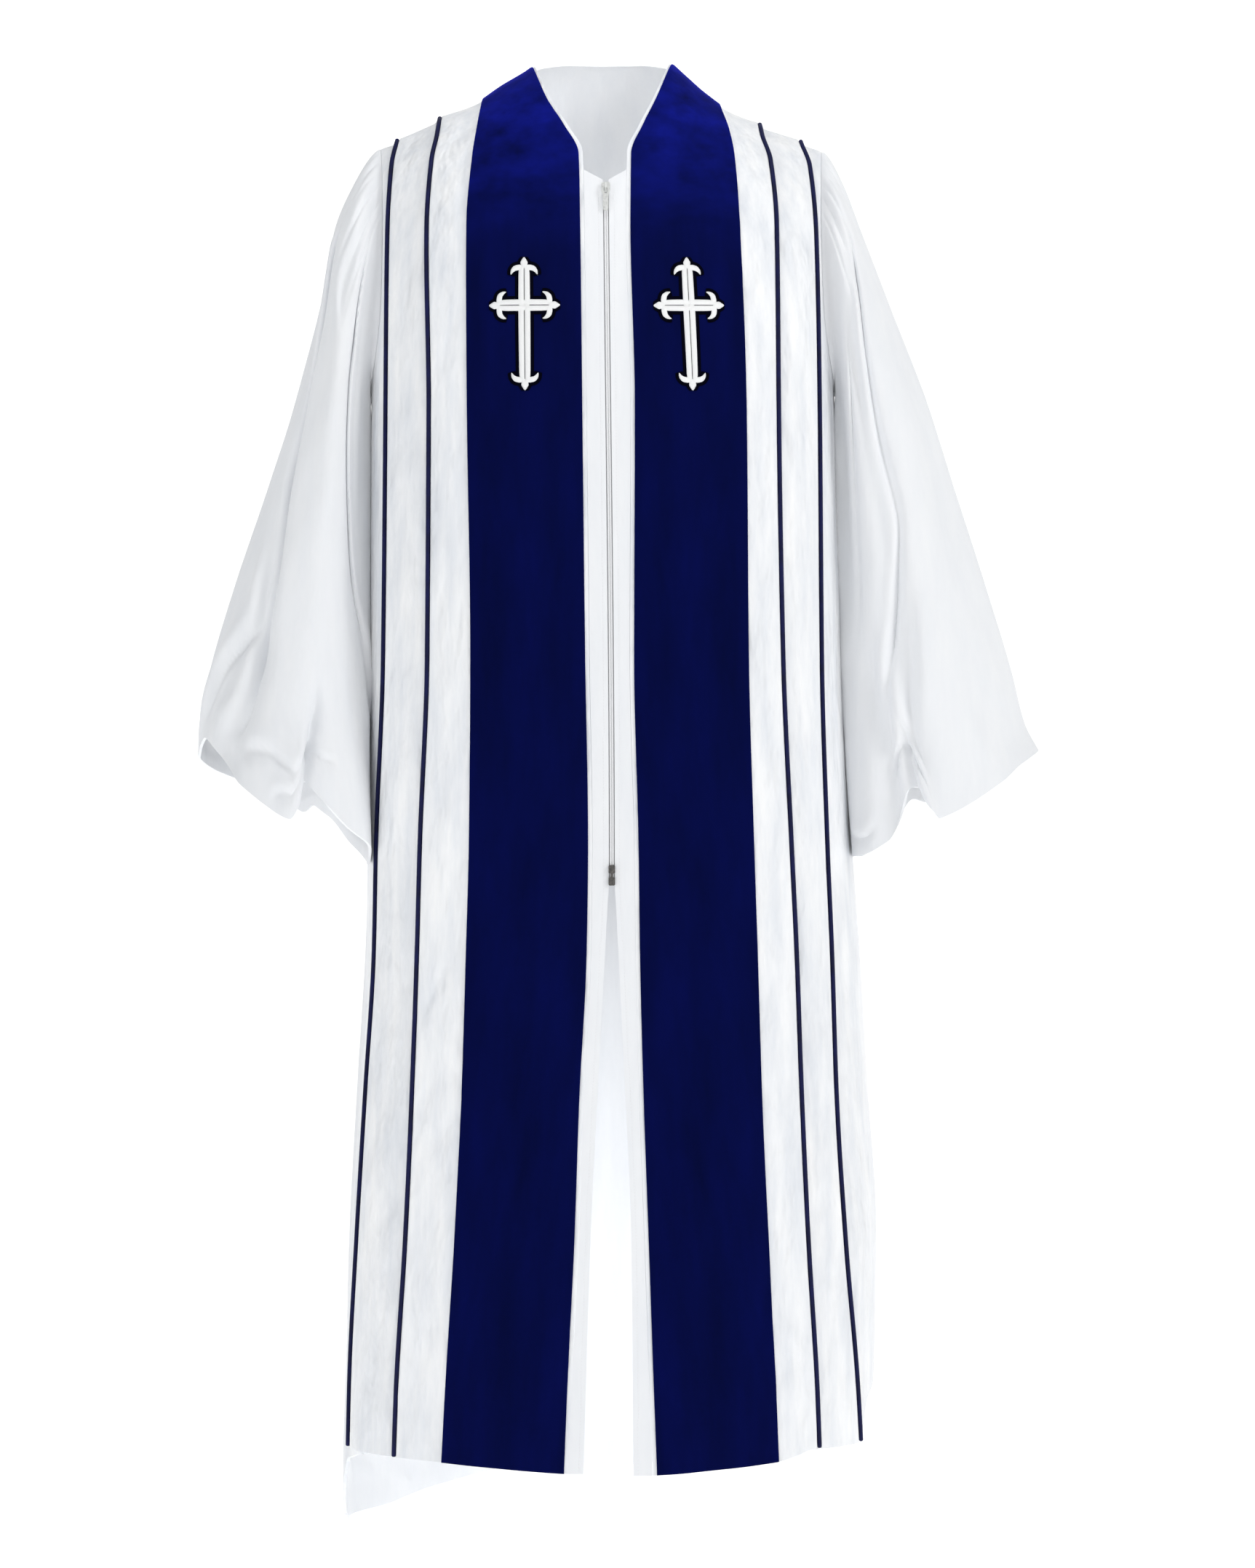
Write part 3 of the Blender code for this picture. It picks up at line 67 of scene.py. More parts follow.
# Heights of the three cloth levels over the body's own surface: side, flute 2, flute 1 with band
SIDE_LEVEL = 0.0
OUTER_FLUTE_LEVEL = 2 * LAYER
INNER_FLUTE_LEVEL = 4 * LAYER

# Columns of a front, from the centre edge outwards: name, the two lines it lies between, share of
# the way, shift outwards, level in layers over the body's own surface, and fine steps to the next
FOLD_SHIFT = -(CLOTH / 2 + GAP + PIPING_RADIUS) - LAYER / 2
FLAT_SHIFT = FOLD_SHIFT + LAYER / 2 - PLEAT_RETURN
RETURN_SHIFT = FLAT_SHIFT + LAYER / 2
FRONT_COLUMNS = (
    ("centre_edge", "edge", "edge", 0.0, -EDGE_PAST_VELVET, 4, 6),
    ("band_1", "edge", "velvet", 0.25, 0.0, 4, 6),
    ("band_2", "edge", "velvet", 0.50, 0.0, 4, 6),
    ("band_3", "edge", "velvet", 0.75, 0.0, 4, 6),
    ("band_edge", "velvet", "velvet", 0.0, 0.0, 4, 7),
    ("flute_1_flat", "piping_1", "piping_1", 0.0, FLAT_SHIFT, 4, 5),
    ("flute_1_fold", "piping_1", "piping_1", 0.0, FOLD_SHIFT, 4, 6),
    ("flute_1_under", "piping_1", "piping_1", 0.0, FOLD_SHIFT, 3, 4),
    ("flute_1_return", "piping_1", "piping_1", 0.0, RETURN_SHIFT, 3, 6),
    ("flute_2_start", "piping_1", "piping_1", 0.0, RETURN_SHIFT, 2, 5),
    ("piping_1_bed", "piping_1", "piping_1", 0.0, 0.0, 2, 6),
    ("flute_2_flat", "piping_2", "piping_2", 0.0, FLAT_SHIFT, 2, 5),
    ("flute_2_fold", "piping_2", "piping_2", 0.0, FOLD_SHIFT, 2, 6),
    ("flute_2_under", "piping_2", "piping_2", 0.0, FOLD_SHIFT, 1, 4),
    ("flute_2_return", "piping_2", "piping_2", 0.0, RETURN_SHIFT, 1, 6),
    ("side_start", "piping_2", "piping_2", 0.0, RETURN_SHIFT, 0, 5),
    ("piping_2_bed", "piping_2", "piping_2", 0.0, 0.0, 0, 0),
)
LINE_NAMES = ("edge", "velvet", "piping_1", "piping_2")
BAND_EDGE_COLUMN, FLUTE_1_FOLD_COLUMN, FLUTE_2_FOLD_COLUMN = 4, 6, 12
SIDE_STEPS = 26
SIDE_COLUMNS = 4

# Rows of every body panel, as drops below the neck points
DROPS = np.array([
    0.000, 0.012, 0.030, 0.052, 0.076, 0.101, 0.135, 0.175, 0.215, 0.255, 0.295, UNDERARM,
    0.390, 0.460, 0.540, 0.625, 0.713, 0.790, 0.860, 0.940, 1.034, 1.130, 1.230, 1.320, 1.395,
])
ROW_STEPS = 10
ROWS = np.interp(np.arange(ROW_STEPS * (len(DROPS) - 1) + 1) / ROW_STEPS, np.arange(len(DROPS)), DROPS)
ARMHOLE_ROWS = ROW_STEPS * int(np.searchsorted(DROPS, UNDERARM))
RIDGE_ROWS = 8

# Lines of the wearer's right front, as distances from the middle: a row for each drop
RIGHT_LINES = table(
    "drop edge velvet piping_1 piping_2 side",
    (0.000, 0.0740, 0.1180, 0.1660, 0.2040, 0.2360),
    (0.043, 0.0567, 0.1250, 0.1680, 0.2070, 0.2360),
    (0.073, 0.0382, 0.1290, 0.1700, 0.2120, 0.2360),
    (0.101, 0.0234, 0.1325, 0.1746, 0.2165, 0.2360),
    (0.172, 0.0216, 0.1373, 0.1780, 0.2190, 0.2365),
    (0.355, 0.0193, 0.1358, 0.1744, 0.2195, 0.2370),
    (0.605, 0.0163, 0.1319, 0.1755, 0.2215, 0.2385),
    (0.785, 0.0134, 0.1331, 0.1824, 0.2286, 0.2405),
    (0.893, 0.0148, 0.1358, 0.1851, 0.2307, 0.2415),
    (1.034, 0.0218, 0.1398, 0.1899, 0.2395, 0.2480),
    (1.176, 0.0267, 0.1467, 0.1961, 0.2478, 0.2565),
    (1.317, 0.0337, 0.1550, 0.2045, 0.2550, 0.2625),
    (1.395, 0.0370, 0.1590, 0.2070, 0.2565, 0.2650),
)

# Lines of the wearer's left front
LEFT_LINES = table(
    "drop edge velvet piping_1 piping_2 side",
    (0.000, 0.0665, 0.1080, 0.1540, 0.1930, 0.2280),
    (0.043, 0.0500, 0.1160, 0.1560, 0.1960, 0.2280),
    (0.073, 0.0355, 0.1250, 0.1590, 0.1990, 0.2280),
    (0.101, 0.0237, 0.1298, 0.1667, 0.2073, 0.2285),
    (0.172, 0.0230, 0.1342, 0.1718, 0.2125, 0.2300),
    (0.355, 0.0273, 0.1402, 0.1727, 0.2150, 0.2325),
    (0.605, 0.0266, 0.1421, 0.1767, 0.2164, 0.2400),
    (0.785, 0.0309, 0.1469, 0.1845, 0.2214, 0.2500),
    (0.893, 0.0323, 0.1503, 0.1894, 0.2257, 0.2575),
    (1.034, 0.0358, 0.1544, 0.1942, 0.2299, 0.2660),
    (1.176, 0.0408, 0.1606, 0.2005, 0.2385, 0.2745),
    (1.317, 0.0457, 0.1675, 0.2089, 0.2510, 0.2720),
    (1.395, 0.0488, 0.1705, 0.2118, 0.2560, 0.2680),
)

# Depth of the body in front of and behind its middle plane
DEPTHS = table(
    "drop front back",
    (0.00, 0.118, 0.108),
    (0.12, 0.122, 0.116),
    (0.25, 0.126, 0.122),
    (0.60, 0.138, 0.138),
    (0.90, 0.152, 0.156),
    (1.20, 0.168, 0.178),
    (1.40, 0.180, 0.195),
)

# Shoulder lines: reach is a share of the half width, heights are above the neck points. Beside the
# neck the front, the back and the neck's edge differ. The wearer's left shoulder hangs lower.
NECK_ROWS = ((0.00, 0.020, 0.046, 0.0110), (0.15, 0.014, 0.040, 0.0105), (0.26, 0.001, 0.018, 0.0040))
SLOPES = {
    "right": (
        (0.32, -0.009), (0.42, -0.023), (0.55, -0.043), (0.70, -0.055), (0.87, -0.072), (1.00, -0.082),
    ),
    "left": (
        (0.32, -0.011), (0.42, -0.031), (0.55, -0.051), (0.70, -0.063), (0.87, -0.075), (1.00, -0.085),
    ),
}
SHOULDERS = {
    side: table("reach front back neck_edge", *NECK_ROWS, *((reach, z, z, z) for reach, z in slope))
    for side, slope in SLOPES.items()
}
NECK_REACH = 0.32
ARMHOLE_TOP = 0.08

# How far the armhole's edge lies inside the half width
ARMHOLE = table(
    "drop front_inset back_inset",
    (0.080, 0.0080, 0.0080),
    (0.110, 0.0105, 0.0110),
    (0.180, 0.0130, 0.0150),
    (0.240, 0.0120, 0.0140),
    (0.290, 0.0070, 0.0080),
    (0.315, 0.0025, 0.0030),
    (UNDERARM, 0.0000, 0.0000),
)

# Rounding of the shoulders: the length over which the surface turns down, and its power. Then the
# way each face looks along Y.
SHOULDER_FALL = {"front": (0.095, 0.8), "back": (0.070, 0.7)}
OUTWARDS = {"front": -1.0, "back": 1.0}

# Hem of each panel as drops, for a front under its named columns, and for the back at places
# from the wearer's right side seam to the left one
HEMS = {
    "front_right": (
        ("centre_edge", 1.397), ("band_edge", 1.389), ("flute_1_fold", 1.387),
        ("flute_2_fold", 1.387), ("side_start", 1.390), ("piping_2_bed", 1.400), ("side_4", 1.470),
    ),
    "front_left": (
        ("centre_edge", 1.399), ("band_edge", 1.388), ("flute_1_fold", 1.378),
        ("flute_2_fold", 1.380), ("piping_2_bed", 1.378), ("side_1", 1.340), ("side_4", 1.322),
    ),
    "back": (
        (0.00, 1.471), (0.07, 1.486), (0.20, 1.482), (0.32, 1.460), (0.42, 1.455), (0.52, 1.455),
        (0.62, 1.440), (0.75, 1.385), (0.86, 1.290), (0.94, 1.225), (1.00, 1.208),
    ),
}
HEM_START = 0.860

# Soft folds of the back: place from right to left seam, half width, height, drop where it begins
BACK_FOLDS = (
    (0.090, 0.038, 0.011, 0.36),
    (0.218, 0.046, 0.019, 0.20),
    (0.352, 0.044, 0.017, 0.12),
    (0.497, 0.042, 0.020, 0.06),
    (0.640, 0.046, 0.018, 0.10),
    (0.783, 0.044, 0.019, 0.18),
    (0.910, 0.036, 0.010, 0.34),
)
BACK_COLUMNS = 14
BACK_STEPS = 5
BACK_WIDTH = 0.8

# Sleeve rings: share of the length, outer end and inner end of each ring, half its depth, and how
# far its inner end swings forwards over the body's side
RIGHT_RINGS = table(
    "along outer_x outer_drop inner_x inner_drop half_depth yaw",
    (0.00, 0.2290, 0.082, 0.2390, 0.336, 0.058, 0.000),
    (0.06, 0.2420, 0.094, 0.2425, 0.360, 0.064, 0.000),
    (0.12, 0.2560, 0.117, 0.2436, 0.386, 0.068, 0.000),
    (0.20, 0.2740, 0.160, 0.2434, 0.420, 0.072, 0.000),
    (0.32, 0.2870, 0.232, 0.2428, 0.475, 0.076, 0.000),
    (0.46, 0.3110, 0.330, 0.2420, 0.545, 0.080, 0.004),
    (0.60, 0.3400, 0.425, 0.2414, 0.615, 0.083, 0.014),
    (0.75, 0.3750, 0.525, 0.2408, 0.690, 0.086, 0.032),
    (0.88, 0.4020, 0.612, 0.2388, 0.752, 0.089, 0.048),
    (0.96, 0.4120, 0.660, 0.2372, 0.788, 0.091, 0.056),
    (1.00, 0.4130, 0.682, 0.2366, 0.806, 0.092, 0.058),
)
LEFT_RINGS = table(
    "along outer_x outer_drop inner_x inner_drop half_depth yaw",
    (0.00, 0.2200, 0.086, 0.2345, 0.336, 0.058, 0.000),
    (0.06, 0.2310, 0.097, 0.2400, 0.360, 0.064, 0.000),
    (0.12, 0.2430, 0.119, 0.2402, 0.386, 0.068, 0.000),
    (0.20, 0.2590, 0.161, 0.2404, 0.420, 0.072, 0.000),
    (0.32, 0.2870, 0.233, 0.2408, 0.475, 0.076, 0.000),
    (0.46, 0.3240, 0.330, 0.2422, 0.545, 0.080, 0.000),
    (0.60, 0.3530, 0.425, 0.2444, 0.615, 0.083, 0.006),
    (0.75, 0.3850, 0.525, 0.2480, 0.690, 0.086, 0.014),
    (0.88, 0.4110, 0.612, 0.2512, 0.750, 0.089, 0.020),
    (0.96, 0.4250, 0.664, 0.2536, 0.784, 0.091, 0.022),
    (1.00, 0.4390, 0.690, 0.2548, 0.800, 0.092, 0.022),
)
SLEEVE_ROWS = 110
FRONT_TURNS, BACK_TURNS = 190, 84
SLEEVE_SEAM = 0.0004
SLEEVE_FORWARD = 0.010

# Sleeve creases: turn is degrees from the outer line, through the front, at the start and the end
# of the crease; from and to are shares of the sleeve's length; depth below the surface is positive
CREASE_COLUMNS = ("from", "to", "turn_from", "turn_to", "width", "depth")
RIGHT_CREASES = (
    (0.28, 0.84, 14.0, 66.0, 9.0, 0.011),
    (0.72, 1.04, 66.0, 54.0, 9.0, 0.011),
    (0.70, 1.02, 60.0, 24.0, 9.0, 0.006),
    (0.02, 0.62, 98.0, 142.0, 13.0, 0.007),
    (0.72, 1.12, 113.0, 113.0, 8.0, 0.012),
    (0.00, 0.24, 24.0, 20.0, 9.0, 0.005),
    (0.00, 0.24, 62.0, 66.0, 9.0, 0.005),
    (0.00, 0.22, -30.0, -26.0, 9.0, 0.005),
    (0.00, 0.22, -68.0, -70.0, 9.0, 0.005),
    (0.35, 1.10, -58.0, -66.0, 13.0, 0.012),
    (0.30, 1.10, -118.0, -122.0, 14.0, 0.012),
)
LEFT_CREASES = (
    (0.06, 0.80, 92.0, 102.0, 13.0, 0.009),
    (0.10, 0.60, 142.0, 150.0, 11.0, 0.006),
    (0.58, 1.12, 134.0, 131.0, 9.0, 0.015),
    (0.50, 1.00, 116.0, 100.0, 11.0, 0.009),
    (0.82, 1.12, 113.0, 118.0, 8.0, 0.010),
    (0.00, 0.22, 30.0, 26.0, 9.0, 0.005),
    (0.00, 0.22, 62.0, 60.0, 9.0, 0.005),
    (0.00, 0.22, -30.0, -26.0, 9.0, 0.005),
    (0.00, 0.22, -68.0, -70.0, 9.0, 0.005),
    (0.35, 1.10, -58.0, -66.0, 13.0, 0.012),
    (0.30, 1.10, -118.0, -122.0, 14.0, 0.012),
)

# Sleeve hems: turn in degrees as above, extra drop
RIGHT_CUFF = (
    (-180.0, 0.000), (-140.0, -0.004), (-122.0, -0.015), (-109.0, -0.015), (-98.0, 0.002),
    (-70.0, 0.004), (-45.0, 0.018), (-25.0, 0.022), (0.0, 0.018), (14.0, 0.002), (30.0, -0.011),
    (46.0, -0.006), (66.0, 0.008), (88.0, 0.010), (99.0, 0.007), (105.0, -0.010), (113.0, -0.040),
    (124.0, -0.034), (139.0, -0.026), (165.0, -0.014), (180.0, 0.000),
)
LEFT_CUFF = (
    (-180.0, -0.002), (-150.0, 0.004), (-134.0, 0.004), (-125.0, -0.006), (-112.0, -0.022),
    (-98.0, -0.008), (-70.0, 0.002), (-40.0, 0.010), (0.0, 0.002), (42.0, 0.003), (58.0, 0.008),
    (80.0, 0.010), (98.0, 0.007), (105.0, -0.010), (113.0, -0.030), (122.0, -0.040), (130.0, -0.026),
    (138.0, 0.000), (152.0, 0.002), (180.0, -0.002),
)
CUFF_START = 0.55

# Zip: its middle line, and the edges of the slit below it
ZIP_LINE = ((0.118, 0.0009), (0.160, 0.0014), (0.811, 0.0073), (0.830, 0.0073))
SLIT = table(
    "drop right_edge left_edge",
    (0.826, 0.0042, 0.0104),
    (1.000, -0.0050, 0.0190),
    (1.168, -0.0132, 0.0262),
    (1.410, -0.0205, 0.0285),
)
PLACKET_TOP = {"outer": 0.1190, "inner": 0.1290}
CHAIN_HALF_WIDTH = 0.0023
CHAIN_THICKNESS = 0.0022
CHAIN_LEVEL = INNER_FLUTE_LEVEL + CLOTH / 2 - CHAIN_THICKNESS / 2
CHAIN_TOP = 0.1312
CHAIN_END = 0.8240
TAPE_LEVEL = CHAIN_LEVEL - CHAIN_THICKNESS / 2 - GAP - TAPE / 2
TAPE_WIDTH = 0.012
TAPE_TOP = 0.1315
TAPE_END = 0.826

# Applied cross with three-pointed ends
CROSS_DROP = 0.2535
CROSS_ACROSS = {"right": 0.500, "left": 0.515}
CROSS_LEAN = {"right": 0.000, "left": 0.016}
CROSS_ARM = {"up": 0.0480, "side": 0.0358, "down": 0.0845}
# An arm of the cross: distance back from its tip, half width
CROSS_BAR = (
    (0.0000, 0.0001), (0.0009, 0.0010), (0.0030, 0.0024), (0.0058, 0.0037), (0.0080, 0.0034),
    (0.0098, 0.0036), (0.0120, 0.0048), (0.0150, 0.0055), (0.0200, 0.0057), (0.0900, 0.0061),
)
# Its hooks: share of the hook, distance from the arm's middle, distance back from the tip, half width
CROSS_HOOK = table(
    "share aside back half",
    (0.00, 0.0010, 0.0112, 0.0022),
    (0.20, 0.0046, 0.0106, 0.0028),
    (0.45, 0.0084, 0.0112, 0.0027),
    (0.70, 0.0113, 0.0134, 0.0020),
    (0.88, 0.0127, 0.0160, 0.0011),
    (1.00, 0.0134, 0.0184, 0.0002),
)
# Width of the near-black border painted around the cross as its shadow
CROSS_SHADOW_BORDER = 0.0034

BAND_TOP = INNER_FLUTE_LEVEL + CLOTH / 2 + GAP + VELVET
SIDES = {
    "right": (-1.0, RIGHT_LINES, SHOULDERS["right"]),
    "left": (1.0, LEFT_LINES, SHOULDERS["left"]),
}
SLEEVES = {
    "right": (RIGHT_RINGS, RIGHT_CREASES, RIGHT_CUFF),
    "left": (LEFT_RINGS, LEFT_CREASES, LEFT_CUFF),
}

# Soft waves: their lengths across a body panel and around a sleeve, and their heights. A front has
# the first height at the shoulder and the second one more at the hem.
FRONT_WAVES = (0.21, 0.13, 0.085, 0.055)
SLEEVE_WAVES = (0.16, 0.10, 0.066, 0.043)
FRONT_WAVE_HEIGHTS, BACK_WAVE_HEIGHT, SLEEVE_WAVE_HEIGHT = (0.0010, 0.0026), 0.0022, 0.0034

# Single creases of a front: distance from the middle, drop, length, lean in degrees, half width, height
FRONT_CREASES = {
    "right": (
        (0.155, 1.180, 0.30, 14.0, 0.012, 0.0022),
        (0.150, 0.980, 0.22, -12.0, 0.010, -0.0020),
        (0.170, 1.240, 0.26, 8.0, 0.010, -0.0020),
        (0.205, 0.760, 0.36, 4.0, 0.012, 0.0018),
        (0.212, 1.100, 0.40, 5.0, 0.012, 0.0024),
        (0.150, 0.420, 0.30, -4.0, 0.010, 0.0014),
        (0.165, 0.930, 0.12, 28.0, 0.006, -0.0024),
        (0.150, 0.985, 0.10, -24.0, 0.006, 0.0022),
        (0.172, 1.035, 0.13, 16.0, 0.006, -0.0020),
        (0.160, 1.075, 0.09, 38.0, 0.006, -0.0022),
        (0.168, 1.100, 0.08, -34.0, 0.006, 0.0020),
        (0.218, 1.060, 0.11, 22.0, 0.006, -0.0020),
        (0.228, 1.160, 0.14, -16.0, 0.007, 0.0020),
        (0.178, 1.300, 0.12, 18.0, 0.007, -0.0022),
        (0.190, 1.340, 0.08, -30.0, 0.006, 0.0018),
        (0.160, 0.560, 0.14, 10.0, 0.006, -0.0014),
        (0.200, 0.420, 0.18, -6.0, 0.007, 0.0014),
        (0.155, 0.300, 0.12, 12.0, 0.006, -0.0014),
    ),
    "left": (
        (0.165, 0.150, 0.12, 32.0, 0.009, 0.0020),
        (0.185, 0.165, 0.10, -28.0, 0.008, -0.0018),
        (0.158, 0.620, 0.34, 5.0, 0.011, 0.0016),
        (0.205, 0.900, 0.42, 6.0, 0.012, 0.0022),
        (0.162, 1.200, 0.26, -9.0, 0.011, -0.0020),
        (0.100, 0.120, 0.09, 35.0, 0.010, 0.0024),
        (0.085, 0.150, 0.08, -30.0, 0.009, 0.0018),
        (0.110, 0.165, 0.07, 62.0, 0.006, 0.0024),
        (0.112, 0.215, 0.06, 70.0, 0.006, 0.0018),
        (0.183, 1.010, 0.12, -20.0, 0.006, -0.0022),
        (0.208, 1.100, 0.12, 24.0, 0.006, 0.0024),
        (0.212, 1.140, 0.10, -28.0, 0.006, -0.0022),
        (0.180, 1.270, 0.10, 30.0, 0.006, 0.0020),
        (0.175, 1.300, 0.09, -26.0, 0.006, -0.0020),
        (0.236, 1.220, 0.14, 12.0, 0.006, -0.0020),
        (0.258, 1.160, 0.16, -10.0, 0.007, 0.0024),
        (0.245, 1.000, 0.20, 6.0, 0.007, -0.0018),
        (0.160, 0.520, 0.14, -10.0, 0.006, 0.0014),
        (0.195, 0.360, 0.16, 8.0, 0.006, -0.0014),
        (0.170, 0.190, 0.06, 40.0, 0.005, -0.0016),
    ),
}

# Single creases of the back, as above, from the wearer's right seam
BACK_CREASES = (
    (0.30, 0.60, 0.50, 3.0, 0.014, 0.0025),
    (0.52, 0.72, 0.60, -2.0, 0.014, -0.0024),
    (0.24, 1.05, 0.45, 5.0, 0.016, -0.0026),
    (0.60, 1.05, 0.42, -5.0, 0.015, 0.0026),
    (0.40, 0.30, 0.30, 8.0, 0.012, 0.0016),
    (0.100, 1.432, 0.13, 62.0, 0.006, 0.0046),
    (0.140, 1.450, 0.13, 60.0, 0.005, -0.0044),
    (0.070, 1.440, 0.10, 20.0, 0.006, -0.0036),
    (0.13, 0.80, 0.34, -6.0, 0.010, 0.0022),
    (0.70, 0.85, 0.40, 5.0, 0.011, -0.0022),
)

# Short gathers at the head of a sleeve: turn in degrees, share of the sleeve's length, depth
SLEEVE_GATHERS = {
    "right": (
        (10, 0.14, 0.0030), (23, 0.24, 0.0042), (36, 0.16, 0.0030), (49, 0.27, 0.0044),
        (63, 0.18, 0.0032), (76, 0.22, 0.0034), (-14, 0.16, 0.0030), (-28, 0.22, 0.0036),
        (-43, 0.16, 0.0030), (-58, 0.24, 0.0036), (-74, 0.18, 0.0028),
    ),
    "left": (
        (10, 0.16, 0.0028), (22, 0.23, 0.0034), (34, 0.16, 0.0028), (47, 0.28, 0.0038),
        (60, 0.18, 0.0028), (74, 0.25, 0.0034), (-12, 0.17, 0.0030), (-26, 0.21, 0.0034),
        (-41, 0.17, 0.0028), (-55, 0.24, 0.0034), (-72, 0.19, 0.0028),
    ),
}

# Sharper folds that run down a sleeve: shares of its length, turns in degrees, depth, half width in
# degrees, and how far beside the valley its ridge lies
SLEEVE_FOLDS = {
    "right": (
        (
            (0.13, 0.20, 0.35, 0.534, 0.684, 0.85, 0.97),
            (24.0, 30.5, 34.5, 42.0, 58.5, 63.0, 50.0), 0.0085, 3.3, -8.0,
        ),
        ((0.62, 0.70, 0.75, 0.874, 0.985), (48.0, 50.5, 53.5, 32.5, 20.0), 0.0070, 3.4, -8.0),
        (
            (0.03, 0.156, 0.304, 0.446, 0.568, 0.72),
            (70.0, 98.0, 105.0, 126.0, 152.0, 166.0), 0.0064, 3.2, 8.0,
        ),
        ((0.78, 0.90, 1.06), (118.0, 114.0, 112.0), 0.0090, 4.4, -11.0),
    ),
    "left": (
        (
            (0.10, 0.15, 0.262, 0.404, 0.502, 0.596, 0.748, 1.04),
            (42.0, 49.0, 75.5, 85.0, 84.0, 96.0, 122.0, 134.0), 0.0064, 4.6, 11.0,
        ),
        ((0.62, 0.72, 0.84, 0.97), (90.0, 97.0, 108.0, 100.0), 0.0048, 4.8, -11.0),
        ((0.12, 0.26, 0.42, 0.62), (96.0, 118.0, 132.0, 142.0), 0.0040, 4.6, 10.0),
        ((0.80, 0.90, 1.06), (119.0, 117.0, 116.0), 0.0085, 4.4, -11.0),
    ),
}

# Soft folds that run around a sleeve near its hem: turns, shares of the length, depth, half width
SLEEVE_SWAGS = {
    "right": (
        ((62.0, 72.0, 88.0, 115.0, 137.0), (0.945, 0.925, 0.902, 0.925, 0.868), 0.0046, 0.014),
        ((84.0, 96.0, 112.0, 124.0), (0.985, 0.955, 0.945, 0.975), 0.0040, 0.012),
    ),
    "left": (
        ((98.0, 110.0, 124.0, 136.0), (0.965, 0.925, 0.905, 0.935), 0.0050, 0.013),
        ((138.0, 150.0, 164.0), (0.945, 0.965, 0.950), 0.0042, 0.012),
    ),
}

# The front of a sleeve laps over the body's side: height, middle and half width in degrees
SLEEVE_LAP = {"right": 0.0070, "left": 0.0092}
LAP_TURN, LAP_WIDTH = 161.0, 13.0

# Rows and columns of the fine grids beside the zip, steps along the coil, and points around each cord
PLACKET_GRID, TAPE_GRID, COIL_STEPS = (340, 17), (300, 15), 1200
PIPING_AROUND, FILLER_AROUND, TOOTH_AROUND = 14, 10, 6

# Cross ribbons: base, rise and valley, and points around, of the dark border painted as the cross's shadow
# and of the satin
SHADOW_BORDER_RIBBON = (0.00035, 0.0005, 0.0, 12)
SATIN_RIBBON = (0.00040, 0.0018, 0.00170, 24)

# Velvet's rolled edge as shares of its outer step, the placket's pressed groove as depth and half
# width, the seam in it, and the coil
GROOVE_DEPTH, GROOVE_WIDTH = 0.00018, 0.0011
EDGE_ROLL = (0.05, 0.12, 0.22, 0.36, 0.60)
ROLL_RADIUS = 0.0013
STITCH_FROM_ZIP, STITCH_PITCH = 0.0048, 0.0032
COIL_PITCH = 0.00125
TOOTH_WIDTH, TOOTH_OVERLAP, FILLER_RADIUS, COIL_INSET = 0.00074, 0.00055, 0.00085, 0.0004

# Stage: a floor that bends up into a wall behind the robe
FLOOR_Z = -1.4925
STAGE_FRONT, STAGE_HALF_WIDTH, STAGE_TOP = -7.0, 7.0, 5.0
BEND_START, BEND_RADIUS = 4.2, 1.2
STAGE_COLOUR, STAGE_GLOW = (0.93, 0.93, 0.93), 0.60

# Camera and lights: name, place, aim, size, power and colour of each area light
CAMERA_X, CAMERA_Z, CAMERA_AWAY, VIEW_HEIGHT, SENSOR = 0.02265, -0.726, 4.0, 1.5954, 24.0
WORLD_COLOUR, WORLD_LIGHT = (0.97, 0.985, 1.0, 1.0), 0.33
WHITE, COOL = (1.0, 1.0, 1.0), (0.96, 0.98, 1.0)
LIGHTS = (
    ("key", (3.0, -2.0, 1.2), (0.0, 0.0, -0.6), (1.2, 1.6), 47.0, WHITE),
    ("fill", (-2.8, -2.2, 0.2), (0.0, 0.0, -0.7), (1.6, 2.0), 20.0, COOL),
    ("low", (0.4, -3.0, -1.1), (0.0, 0.0, -1.2), (2.2, 0.6), 4.5, WHITE),
    ("inside", (0.005, -0.03, -1.15), (0.005, 1.0, -1.15), (0.16, 0.6), 0.40, WHITE),
    ("top", (0.0, -0.4, 2.6), (0.0, 0.0, -0.4), (2.4, 1.4), 13.0, WHITE),
    ("neck", (0.0, -0.38, 0.42), (0.0, 0.09, -0.05), (0.22, 0.14), 1.0, WHITE),
    ("collar", (0.0, -0.07, -0.32), (0.0, 0.10, -0.12), (0.18, 0.08), 0.23, WHITE),
    ("behind", (2.0, 2.2, 1.0), (0.0, 0.0, -0.6), (1.6, 1.6), 1.0, WHITE),
)

# Tables and curves


def smooth(at, places, values):
    """Monotone cubic curve through the places and values: Hermite steps whose slope at a place is
    the harmonic mean of the slopes on both sides, level outside the ends."""
    places, values = np.asarray(places, float), np.asarray(values, float)
    at = np.clip(np.asarray(at, float), places[0], places[-1])
    step = np.diff(places)
    slope = np.diff(values) / step
    tangent = np.zeros(len(values))
    if len(values) > 2:
        same = slope[:-1] * slope[1:] > 0
        safe = np.where(same, slope[:-1] + slope[1:], 1.0)
        tangent[1:-1] = np.where(same, 2 * slope[:-1] * slope[1:] / safe, 0.0)
    tangent[0], tangent[-1] = slope[0], slope[-1]
    i = np.clip(np.searchsorted(places, at, side="right") - 1, 0, len(step) - 1)
    t = (at - places[i]) / step[i]
    h = step[i]
    return (
        (2 * t**3 - 3 * t**2 + 1) * values[i]
        + (t**3 - 2 * t**2 + t) * h * tangent[i]
        + (3 * t**2 - 2 * t**3) * values[i + 1]
        + (t**3 - t**2) * h * tangent[i + 1]
    )


